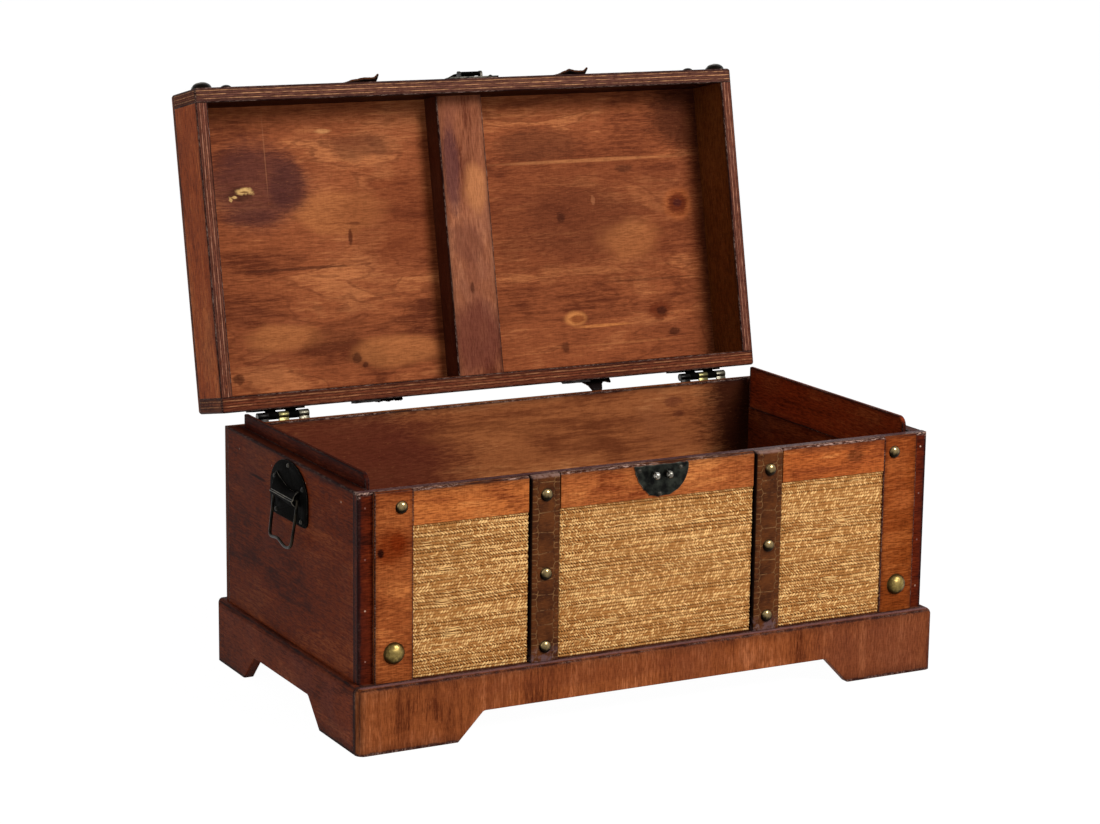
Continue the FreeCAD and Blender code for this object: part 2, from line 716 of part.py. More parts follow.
lid_nail_places = []
for side_sign in (-1, 1):
    for nail_y in (facing_face + lid_strap_nail_setback, 0, back - lid_strap_nail_setback):
        lid_nail_places.append(vector(side_sign * strap_x, nail_y, lid_top + lid_strap_thickness))
top_nails = nail_group(lid_nail_places, z_axis, small_nail_diameter, small_nail_height,
                       lid_strap_thickness + nail_grip)
corner_small = nail_group(
    [vector(side_sign * (half_width - lid_small_nail_edge), facing_face,
            lid_bottom + lid_small_nail_rise) for side_sign in (-1, 1)],
    outward, small_nail_diameter, small_nail_height, nail_grip)
corner_large = nail_group(
    [vector(side_sign * (half_width - lid_large_nail_edge), facing_face,
            lid_bottom + lid_large_nail_rise) for side_sign in (-1, 1)],
    outward, large_nail_diameter, large_nail_height, nail_grip)
drive(lid, ("lid_strap_left", "lid_strap_right", "lid_top_panel"), top_nails)
drive(lid, ("lid_front_rail",), corner_small + corner_large)
lid["lid_nails_small"] = Part.makeCompound(top_nails + corner_small)
lid["lid_nails_large"] = Part.makeCompound(corner_large)

# ---------------------------------------------------------------- hasp on the lid's front rail
hasp_plate = shield(hasp_plate_width, hasp_plate_height, hasp_plate_shoulder,
                    iron_plate_thickness)
hasp_plate.rotate(vector(0, 0, 0), y_axis, 180)
hasp_plate.translate(vector(0, plate_face, lid_bottom + hasp_plate_rim_gap))
ears = []
for ear_x in (-ear_spacing / 2, ear_spacing / 2):
    ear_side = ear_x - ear_thickness / 2
    ear_end = rod(ear_radius, vector(ear_side, hasp_pin_y, hasp_pin_z), x_axis, ear_thickness)
    ear_root = board(ear_side, ear_side + ear_thickness, hasp_pin_y, plate_face,
                     hasp_pin_z - ear_radius, hasp_pin_z + ear_radius)
    ears += [ear_end, ear_root]
ear_reach = ear_spacing / 2 + ear_thickness / 2
hasp_pin = rod(hasp_pin_radius, vector(-ear_reach, hasp_pin_y, hasp_pin_z), x_axis, 2 * ear_reach)
lid["hasp_plate"] = hasp_plate.fuse(ears).cut(hasp_pin).removeSplitter()
lid["hasp_pin"] = hasp_pin

hasp_nail_x = hasp_plate_width / 2 - hasp_nail_side_margin
hasp_nail_z = lid_bottom + hasp_plate_rim_gap + hasp_nail_rim_margin
hasp_nails = nail_group(
    [vector(-hasp_nail_x, plate_face, hasp_nail_z), vector(hasp_nail_x, plate_face, hasp_nail_z)],
    outward, plate_nail_diameter, plate_nail_height, iron_plate_thickness + plate_nail_grip)
drive(lid, ("hasp_plate", "lid_front_rail"), hasp_nails)
lid["hasp_nails"] = Part.makeCompound(hasp_nails)

# The tongue hangs over the staple when the lid is shut, with one window for each lug.
barrel_half = ear_spacing / 2 - ear_thickness / 2 - hasp_side_gap
half_tongue = tongue_width / 2
tongue_back = hasp_pin_y + hasp_barrel_radius
shoulder_z = hasp_pin_z - tongue_shoulder
toe_z = lug_z - tongue_toe
tongue = solid_from([vector(-barrel_half, tongue_back, hasp_pin_z),
                     vector(-barrel_half, tongue_back, shoulder_z),
                     vector(-half_tongue, tongue_back, shoulder_z - (half_tongue - barrel_half)),
                     vector(-half_tongue, tongue_back, toe_z),
                     vector(half_tongue, tongue_back, toe_z),
                     vector(half_tongue, tongue_back, shoulder_z - (half_tongue - barrel_half)),
                     vector(barrel_half, tongue_back, shoulder_z),
                     vector(barrel_half, tongue_back, hasp_pin_z)],
                    vector(0, -tongue_thickness, 0))
tongue = round_edges(tongue, tongue_corner_radius,
                     lambda e: runs(e, y_axis) and middle(e).z < toe_z + slack)
tongue = tongue.fuse(rod(hasp_barrel_radius, vector(-barrel_half, hasp_pin_y, hasp_pin_z),
                         x_axis, 2 * barrel_half))
tongue = tongue.cut(rod(hasp_pin_radius + pin_clearance,
                        vector(-barrel_half, hasp_pin_y, hasp_pin_z), x_axis, 2 * barrel_half))
for lug_x in (-lug_spacing / 2, lug_spacing / 2):
    tongue = tongue.cut(board(lug_x - lug_thickness / 2 - window_clearance,
                              lug_x + lug_thickness / 2 + window_clearance,
                              tongue_back - tongue_thickness, tongue_back,
                              lug_z - lug_height / 2 - window_clearance,
                              lug_z + lug_height / 2 + window_clearance))
tongue = tongue.removeSplitter()
tongue.rotate(vector(0, hasp_pin_y, hasp_pin_z), -x_axis, tongue_fold_angle)

# ---------------------------------------------------------------- butt hinges
neck_end = pin_z - rim + leaf_thickness * 2
knuckle_length = hinge_length / knuckles


def hinge_leaf(centre_x, first_knuckle, bore_radius, up):
    """A leaf against the back face with every second knuckle; up is +1 for the lid's leaf."""
    x0, x1 = centre_x - hinge_length / 2, centre_x + hinge_length / 2
    near, far = pin_z + up * neck_end, pin_z + up * (neck_end + leaf_height)
    leaf = board(x0, x1, back, back + leaf_thickness, min(near, far), max(near, far))
    slope = math.atan2(up * neck_end, -(pin_offset - leaf_thickness / 2))
    side_y = hinge_neck_width / 2 * math.sin(slope)
    side_z = hinge_neck_width / 2 * math.cos(slope)
    for index in range(first_knuckle, knuckles, 2):
        start = x0 + index * knuckle_length + (knuckle_gap / 2 if index > 0 else 0)
        stop = x0 + (index + 1) * knuckle_length
        stop -= knuckle_gap / 2 if index < knuckles - 1 else 0
        corners_yz = [(back, near), (back + leaf_thickness, near),
                      (pin_y + side_y * up, pin_z - side_z * up),
                      (pin_y - side_y * up, pin_z + side_z * up)]
        knuckle = rod(barrel_radius, vector(start, pin_y, pin_z), x_axis, stop - start)
        leaf = leaf.fuse([knuckle, profile_along_x(corners_yz, start, stop)])
    bore = rod(bore_radius, vector(x0, pin_y, pin_z), x_axis, hinge_length)
    return leaf.cut(bore).removeSplitter()


def leaf_screws(centre_x, up):
    shank_end = screw_head_depth + screw_length
    screws = []
    for x in (centre_x - screw_spacing, centre_x, centre_x + screw_spacing):
        screw = turned([(0, 0), (screw_head_radius, 0), (screw_shank_radius, -screw_head_depth),
                        (screw_shank_radius, -shank_end + screw_shank_radius), (0, -shank_end)])
        place = vector(x, back + leaf_thickness, pin_z + up * (neck_end + leaf_height / 2))
        screws.append(aim(screw, place, y_axis))
    return screws


body_screws = []
lid_screws = []
for name, centre_x in (("left", -hinge_x), ("right", hinge_x)):
    chest["hinge_leaf_body_" + name] = hinge_leaf(centre_x, 0, hinge_pin_radius, -1)
    lid["hinge_leaf_lid_" + name] = hinge_leaf(centre_x, 1, hinge_pin_radius + pin_clearance, 1)
    chest["hinge_pin_" + name] = rod(hinge_pin_radius,
                                     vector(centre_x - hinge_length / 2, pin_y, pin_z),
                                     x_axis, hinge_length)
    body_screws += leaf_screws(centre_x, -1)
    lid_screws += leaf_screws(centre_x, 1)
drive(chest, ("hinge_leaf_body_left", "hinge_leaf_body_right", "back_board"), body_screws)
drive(lid, ("hinge_leaf_lid_left", "hinge_leaf_lid_right", "lid_back_rail"), lid_screws)
chest["hinge_screws_body"] = Part.makeCompound(body_screws)
lid["hinge_screws_lid"] = Part.makeCompound(lid_screws)

# ---------------------------------------------------------------- open the lid and set the origin
lid["hasp_tongue"] = tongue
for shape in lid.values():
    shape.rotate(vector(0, pin_y, pin_z), -x_axis, lid_open_angle)

pieces = {**chest, **lid, **moving}
whole = Part.makeCompound(list(pieces.values())).BoundBox
origin_shift = -(whole.YMin + whole.YMax) / 2
os.makedirs("parts", exist_ok=True)
for name, shape in pieces.items():
    shape.translate(vector(0, origin_shift, 0))
    shape.exportStep("parts/" + name + ".step")
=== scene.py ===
import bpy
import json
import math
import random
from mathutils import Matrix, Vector, noise


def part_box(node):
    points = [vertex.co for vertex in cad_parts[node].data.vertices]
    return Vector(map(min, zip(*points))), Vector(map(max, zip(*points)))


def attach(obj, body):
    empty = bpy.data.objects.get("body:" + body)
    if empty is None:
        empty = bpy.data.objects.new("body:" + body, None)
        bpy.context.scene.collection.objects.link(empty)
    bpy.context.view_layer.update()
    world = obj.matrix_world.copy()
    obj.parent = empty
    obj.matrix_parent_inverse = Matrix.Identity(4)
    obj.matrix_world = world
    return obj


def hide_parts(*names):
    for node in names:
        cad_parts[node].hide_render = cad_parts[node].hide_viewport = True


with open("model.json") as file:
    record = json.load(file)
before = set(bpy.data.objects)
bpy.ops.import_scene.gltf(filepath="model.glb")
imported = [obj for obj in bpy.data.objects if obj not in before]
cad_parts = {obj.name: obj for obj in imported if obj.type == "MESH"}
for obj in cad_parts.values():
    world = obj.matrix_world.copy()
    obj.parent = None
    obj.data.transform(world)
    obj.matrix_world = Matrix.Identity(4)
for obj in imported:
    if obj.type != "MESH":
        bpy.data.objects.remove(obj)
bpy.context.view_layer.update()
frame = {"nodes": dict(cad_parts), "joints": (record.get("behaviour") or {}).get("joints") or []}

# ---------------------------------------------------------------- carcass boards
# Five plywood boards, nailed at the corners and stained red-brown under a satin varnish.
# Handling has burnished their edges dark and rubbed pale flecks into them; the pale flecks
# and the pale streaks along the grain also stand in as painted highlights of the varnish.


class Tone:
    """One socket of a material. Sums and products of tones add Math nodes."""

    def __init__(self, tree, socket=None):
        self.tree = tree
        self.socket = socket

    def node(self, kind, settings, values, output=0):
        made = self.tree.nodes.new("ShaderNode" + kind)
        for name, setting in settings.items():
            setattr(made, name, setting)
        for name, value in values.items():
            target = made.inputs[name]
            if isinstance(value, Tone):
                self.tree.links.new(value.socket, target)
            else:
                target.default_value = value
        return Tone(self.tree, made.outputs[output])

    def maths(self, operation, *values):
        return self.node("Math", {"operation": operation}, dict(enumerate(values)))

    def __add__(self, other):
        return self.maths("ADD", self, other)

    def __radd__(self, other):
        return self.maths("ADD", other, self)

    def __sub__(self, other):
        return self.maths("SUBTRACT", self, other)

    def __rsub__(self, other):
        return self.maths("SUBTRACT", other, self)

    def __mul__(self, other):
        return self.maths("MULTIPLY", self, other)

    def __rmul__(self, other):
        return self.maths("MULTIPLY", other, self)

    def least(self, other):
        return self.maths("MINIMUM", self, other)

    def most(self, other):
        return self.maths("MAXIMUM", self, other)

    def ramp(self, start, stop):
        """0 at start, 1 at stop, smooth between; start may lie above stop."""
        return self.node("MapRange", {"interpolation_type": "SMOOTHSTEP"},
                         {"Value": self, "From Min": start, "From Max": stop})

    def over(self, below, colour, how="MIX"):
        """This tone as the strength of one colour laid over another."""
        return self.node("Mix", {"data_type": "RGBA", "blend_type": how},
                         {0: self, 6: below, 7: colour}, 2)

    def cloud(self, scale, detail=3.0, rough=0.5, warp=0.0):
        """Soft noise in the space of this vector."""
        return self.node("TexNoise", {}, {"Vector": self, "Scale": scale, "Detail": detail,
                                          "Roughness": rough, "Distortion": warp})

    def stretched(self, scale, shift=(0, 0, 0)):
        return self.node("Mapping", {}, {"Vector": self, "Location": shift, "Scale": scale})

    def part(self, axis):
        return self.node("SeparateXYZ", {}, {"Vector": self}, axis)


def stain(red, green, blue):
    """A colour given in everyday 0 to 255 steps, as the linear colour that shaders use."""
    linear = []
    for step in (red, green, blue):
        share = step / 255
        linear.append(share / 12.92 if share < 0.04045 else ((share + 0.055) / 1.055) ** 2.4)
    return (*linear, 1.0)


def new_finish(name):
    """An empty material with its own surface shader; gives the material, shader and a tone."""
    material = bpy.data.materials.new(name)
    material.use_nodes = True
    return material, material.node_tree.nodes["Principled BSDF"], Tone(material.node_tree)


def connect(shader, name, tone):
    tone.tree.links.new(tone.socket, shader.inputs[name])


def wear(thing, material):
    thing.data.materials.clear()
    thing.data.materials.append(material)


lid_joint = next(joint for joint in frame["joints"] if joint["name"] == "lid_hinge")
lid_pin = Vector(lid_joint["pos_m"])
lid_turn = math.radians(-lid_joint["range_deg"][0])
lid_shut = (Matrix.Translation(lid_pin) @ Matrix.Rotation(lid_turn, 4, "X")
            @ Matrix.Translation(-lid_pin))
lid_open = lid_shut.inverted()
lid_nodes = {name for name in frame["nodes"] if name.startswith("lid_")}


def reach(name):
    """Lowest and highest corner of a node; a lid piece is measured with the lid shut."""
    if name not in lid_nodes:
        low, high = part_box(name)
        return Vector(low), Vector(high)
    corners = [lid_shut @ vertex.co for vertex in frame["nodes"][name].data.vertices]
    return (Vector([min(c[axis] for c in corners) for axis in range(3)]),
            Vector([max(c[axis] for c in corners) for axis in range(3)]))


def edge_distance(position, low, high):
    """Metres from a point on a board's surface to that board's nearest edge."""
    inset = []
    for axis in range(3):
        along = position.part(axis)
        inset.append((along - low[axis]).least(high[axis] - along))
    one, two, three = inset
    return one.least(two).most(one.most(two).least(three))


burnish = stain(28, 14, 15)
# The pale colour of the flecks on the edges: rubbed wear, and painted highlight too.
rubbed_and_sheen = stain(186, 150, 134)
pore_shade = stain(150, 128, 116)
grain_shift = 7.3
wood_gleam = 0.01
worn_height = 0.297


def wooden(name, grain, dark, middle, light, edge=0.0045, flecks=0.5, gloss=0.42,
           mottle=(stain(60, 26, 26), 0.25), closed=(), marks=(), faces=(), ply=None,
           grit=0.6, rings=0.22, worn_from=None):
    """Stained board. closed lists (axis, side) of faces that meet another board and have no
    worn edge, marks are (centre, half sizes, colour, strength, raggedness) of knots,
    stains and painted shade, faces are (axis, side, colour, strength) of sides with a stain of
    their own or with painted shade, and ply is (axis, places, half width, colour) of the ply
    lines on a rim. grit is how deep the pores show and how strong the painted glints along the
    grain are, rings how dark the growth rings, and above the height worn_from the edges have
    most of their pale flecks, which are rubbed wear and painted highlight at once."""
    material, shader, start = new_finish(name + "_finish")
    position = start.node("TexCoord", {}, {}, "Object")
    if name in lid_nodes:
        position = start.node("Mapping", {}, {"Vector": position,
                                              "Location": lid_shut.to_translation(),
                                              "Rotation": lid_shut.to_euler()})
    low, high = reach(name)
    shift = tuple(grain_shift * part for part in (low.x + high.y, low.y - high.z, low.z + high.x))

    def veined(length, width):
        """The space in which noise of scale 1 gives streaks of that length and width."""
        return position.stretched([1 / (length if axis == grain else width)
                                   for axis in "XYZ"], shift)

    fibre = veined(0.0105, 0.0015).cloud(1.0, 3.0, 0.6, 0.3)
    vein = veined(0.060, 0.0036).cloud(1.0, 3.0, 0.55, 0.8)
    figure = veined(0.26, 0.06).cloud(1.0, 3.0, 0.5, 1.0)
    growth = start.maths("SINE", figure * 44.0).ramp(0.75, 1.0)
    broad = position.cloud(10.0, 4.0, 0.6, 0.5)
    sanding = veined(0.0014, 0.011).cloud(1.0, 2.0, 0.5)
    dashes = veined(0.010, 0.0016).cloud(1.0, 1.0, 0.5).ramp(0.68, 0.78)
    glints = veined(0.008, 0.0014).cloud(1.3, 1.0, 0.5).ramp(0.66, 0.78)

    value = ((vein - 0.5) * 0.85 + (figure - 0.5) * 1.5 + (broad - 0.5) * 1.1
             + (fibre - 0.5) * grit * 0.6 + 0.5)
    colour = value.ramp(0.10, 0.52).over(dark, middle)
    colour = value.ramp(0.52, 0.92).over(colour, light)
    mottle_colour, mottle_share = mottle
    blotch = (broad + (fibre - 0.5) * 0.1).ramp(0.48, 0.70)
    colour = (blotch * mottle_share).over(colour, mottle_colour)
    colour = (growth * rings).over(colour, dark)

    for centre, size, mark_colour, strength, ragged in marks:
        offset = position.node("VectorMath", {"operation": "SUBTRACT"},
                               {0: position, 1: centre})
        offset = offset.node("VectorMath", {"operation": "DIVIDE"}, {0: offset, 1: size})
        far = offset.node("VectorMath", {"operation": "LENGTH"}, {0: offset}, "Value")
        noisy = far + (position.cloud(0.9 / max(size[:2]), 3.0, 0.6) - 0.5) * ragged
        noisy = noisy + (fibre - 0.5) * 0.5
        colour = (noisy.ramp(1.15, 0.55) * strength).over(colour, mark_colour)

    for axis, side, face_colour, strength in faces:
        along = position.part(axis)
        off = along - low[axis] if side < 0 else high[axis] - along
        colour = (off.ramp(0.0014, 0.0004) * strength).over(colour, face_colour)

    if ply:
        axis, ply_places, half_width, ply_colour = ply
        waver = (veined(0.05, 0.05).cloud(1.0, 2.0) - 0.5) * 0.0012
        place = position.part(axis) + waver
        broken = veined(0.02, 0.002).cloud(1.0, 3.0, 0.7).ramp(0.38, 0.60)
        for ply_place in ply_places:
            off = start.maths("ABSOLUTE", place - ply_place)
            shadow = start.maths("ABSOLUTE", off - half_width * 1.8).ramp(half_width * 0.8, 0.0)
            colour = (shadow * 0.75).over(colour, burnish)
            colour = (off.ramp(half_width, half_width * 0.3) * broken * 0.9).over(
                colour, ply_colour)

    pores = fibre * 0.8 + sanding * 0.2
    colour = (pores.ramp(0.58, 0.40) * grit).over(colour, pore_shade, "MULTIPLY")
    colour = (dashes * 0.45).over(colour, dark)
    # Pale streaks along the grain, painted glints of light on the varnish.
    colour = (glints * grit * 0.55).over(colour, light)

    low, high = low.copy(), high.copy()
    for axis, side in closed:
        (high if side > 0 else low)[axis] += side
    rim = edge_distance(position, low, high)
    uneven = rim + (veined(0.04, 0.010).cloud(1.0, 3.0, 0.6) - 0.5) * edge * 0.9
    colour = (rim.ramp(edge * 3.0, 0.0) * 0.4).over(colour, burnish)
    colour = (uneven.ramp(edge * 0.85, edge * 0.35) * 0.85).over(colour, burnish)
    # Pale flecks near the edges: rubbed wear, and also painted highlights on the edges.
    scuffs_and_sheen = veined(0.007, 0.0018).cloud(1.0, 4.0, 0.8).ramp(0.47, 0.60)
    stretches = veined(0.06, 0.03).cloud(1.0, 2.0, 0.6).ramp(0.36, 0.56)
    rubs_and_sheen = scuffs_and_sheen * stretches * rim.ramp(edge * 0.8, edge * 0.1) * flecks
    if worn_from:
        rubs_and_sheen = rubs_and_sheen * (position.part(2).ramp(worn_from, worn_from + 0.006) * 0.96 + 0.04)
    colour = rubs_and_sheen.over(colour, rubbed_and_sheen)
    connect(shader, "Base Color", colour)

    connect(shader, "Roughness", gloss + (fibre - 0.5) * 0.3 + dashes * 0.12 + rubs_and_sheen * 0.2)
    shader.inputs["Specular IOR Level"].default_value = wood_gleam
    height = fibre * 0.6 + vein * 0.5 - dashes * 0.4 - rubs_and_sheen * 0.6 + broad * 0.6
    bump = start.node("Bump", {}, {"Strength": 0.4, "Distance": 0.0006, "Height": height})
    connect(shader, "Normal", bump)
    wear(frame["nodes"][name], material)


oxblood = stain(60, 27, 20)
chestnut = stain(96, 50, 34)
amber = stain(128, 70, 44)
wooden("front_board", "X", stain(54, 17, 7), stain(96, 33, 12), stain(122, 52, 22),
       closed=((2, -1),), gloss=0.3, edge=0.006, flecks=1.0, mottle=(stain(66, 30, 24), 0.3),
       faces=((2, 1, stain(112, 82, 86), 0.8),), worn_from=worn_height)
crack = (((-0.3925, 0.0133, 0.2633), (0.05, 0.034, 0.0022), stain(34, 10, 6), 0.9, 0.8),)
for side, side_marks in (("left", crack), ("right", ())):
    wooden("side_board_" + side, "Y", stain(64, 21, 9), stain(106, 43, 18), stain(136, 67, 34),
           marks=side_marks, faces=((2, 1, stain(66, 27, 17), 0.85),),
           mottle=(stain(84, 38, 28), 0.6), closed=((1, -1), (1, 1), (2, -1)), flecks=0.16,
           worn_from=worn_height)
wooden("guide_board_left", "Y", stain(42, 13, 7), stain(74, 26, 14), stain(100, 44, 26),
       edge=0.003, flecks=0.12)
# The right guide board has lighter colours than the left one, as painted light on its inner face.
wooden("guide_board_right", "Y", stain(98, 35, 14), stain(146, 57, 24), stain(172, 84, 42),
       edge=0.003, flecks=0.2, faces=((1, -1, stain(58, 20, 10), 0.9),))
# Painted shade inside the back board: darker in both corners and over the lower left.
painted_corner_shade = stain(52, 21, 12)
outer_stain = stain(96, 40, 19)
wooden("back_board", "X", stain(118, 62, 35), stain(158, 92, 53), stain(190, 122, 74),
       mottle=(stain(116, 62, 42), 0.35), closed=((2, -1),), edge=0.004, grit=0.3, rings=0.3,
       faces=((0, -1, outer_stain, 0.9), (0, 1, outer_stain, 0.9), (1, 1, outer_stain, 0.6)),
       marks=(((-0.27, 0.111, 0.22), (0.24, 0.009, 0.12), stain(94, 41, 29), 0.9, 0.4),
              ((0.385, 0.111, 0.29), (0.094, 0.009, 0.17), painted_corner_shade, 0.95, 0.15),
              ((-0.385, 0.111, 0.29), (0.05, 0.009, 0.12), painted_corner_shade, 0.6, 0.15),
              ((0.255, 0.111, 0.285), (0.016, 0.009, 0.009), stain(96, 44, 30), 0.6, 1.2),
              ((0.262, 0.111, 0.266), (0.010, 0.009, 0.006), stain(84, 38, 26), 0.6, 1.2),
              ((-0.03, 0.111, 0.268), (0.09, 0.009, 0.016), stain(178, 108, 62), 0.2, 1.4)))
wooden("bottom_panel", "X", oxblood, chestnut, amber)

# ---------------------------------------------------------------- plinth
# A separate frame of four boards with bracket feet, glued round cleats and corner blocks.
# Its top edge is rounded over and worn to a dark line with a light rub.
plinth_dark = stain(86, 39, 19)
plinth_middle = stain(135, 72, 37)
plinth_light = stain(174, 104, 64)
wooden("plinth_front", "Z", plinth_dark, plinth_middle, plinth_light, edge=0.0055,
       mottle=(stain(100, 50, 36), 0.35), flecks=0.4, grit=0.42,
       faces=((2, 1, stain(132, 96, 96), 0.85),),
       marks=(((0.32, -0.299, 0.03), (0.12, 0.05, 0.07), stain(104, 54, 36), 0.6, 0.8),
              ((-0.10, -0.299, 0.06), (0.20, 0.05, 0.012), stain(112, 56, 32), 0.4, 1.0)))
wooden("plinth_back", "Z", plinth_dark, plinth_middle, plinth_light, edge=0.004)
for side in ("left", "right"):
    wooden("plinth_" + side, "Y", stain(76, 29, 14), stain(124, 56, 31), stain(156, 84, 50),
           mottle=(stain(88, 46, 42), 0.5), edge=0.005, flecks=0.12)
for part in ("plinth_cleats_long", "plinth_cleats_short", "plinth_corner_blocks"):
    wooden(part, "X", oxblood, chestnut, amber, edge=0.001, flecks=0.0)

# ---------------------------------------------------------------- stiles and top rail
# Thin lighter strips of the same ply, pinned over the front board; the grain runs across.
# The rail is in three lengths, with the straps in the gaps between them.
facing_mottle = stain(134, 58, 32)
swirl = (((-0.3535, -0.286, 0.2405), (0.023, 0.05, 0.027), stain(112, 42, 10), 0.8, 1.1),
         ((-0.346, -0.286, 0.247), (0.010, 0.05, 0.014), stain(104, 32, 6), 0.6, 1.1),
         ((-0.360, -0.286, 0.256), (0.014, 0.05, 0.004), stain(92, 36, 12), 0.5, 1.3),
         ((-0.3665, -0.286, 0.2355), (0.0050, 0.05, 0.0060), stain(32, 8, 5), 0.95, 0.8))
wooden("front_stile_left", "X", stain(112, 50, 22), stain(150, 79, 38), stain(188, 112, 58),
       edge=0.0022, flecks=0.3, closed=((2, -1),), marks=swirl, mottle=(facing_mottle, 0.2))
wooden("front_stile_right", "X", stain(90, 38, 12), stain(124, 58, 20), stain(156, 84, 38),
       edge=0.0022, flecks=0.3, closed=((2, -1),), mottle=(facing_mottle, 0.2))
rail_smudge = (((0.281, -0.286, 0.287), (0.014, 0.05, 0.009), stain(74, 34, 20), 0.6, 1.2),
               ((0.250, -0.286, 0.302), (0.050, 0.05, 0.008), stain(116, 56, 30), 0.4, 1.0))
for name, middle, marks in (("left", stain(180, 102, 50), ()),
                            ("centre", stain(166, 93, 47), ()),
                            ("right", stain(166, 87, 40), rail_smudge)):
    wooden("front_rail_" + name, "X", stain(124, 58, 28), middle, stain(206, 130, 70),
           edge=0.0045, flecks=1.0, closed=((0, -1), (0, 1), (2, -1)),
           mottle=(facing_mottle, 0.15), marks=marks)

# ---------------------------------------------------------------- seagrass panels
# Panels of twined seagrass: pairs of grass strands twisted along rows, glued to the board
# under the rail and trimmed at the straps. Some rows stand up as ribs for part of their way.
# The fronts of the strands and the ribs are painted lighter and the backs darker, as painted
# light and shade.
row_pitch = 0.0039
strand_radius = 0.00145
twist_length = 0.0072
rib_rise = 0.0007
strand_sides = 4
steps_per_twist = 5
row_wander = 0.0016
trimmed_edge = 0.004
backing_thickness = 0.0018
straws_per_metre, longest_straw, straw_radius = 90, 0.026, 0.0006
straw_sides, straw_steps = 3, 6
bundle_rises = (-0.0022, -0.0011, 0.0, 0.0011, 0.0020)


def new_thing(name, verts, faces, smooth, **values):
    """A thing from corners and faces. Each value is an attribute, one number per corner."""
    mesh = bpy.data.meshes.new(name)
    mesh.from_pydata(verts, [], faces)
    mesh.polygons.foreach_set("use_smooth", smooth)
    for value_name, numbers in values.items():
        made = mesh.attributes.new(value_name, "FLOAT", "POINT")
        made.data.foreach_set("value", numbers)
    thing = bpy.data.objects.new(name, mesh)
    bpy.context.collection.objects.link(thing)
    return thing


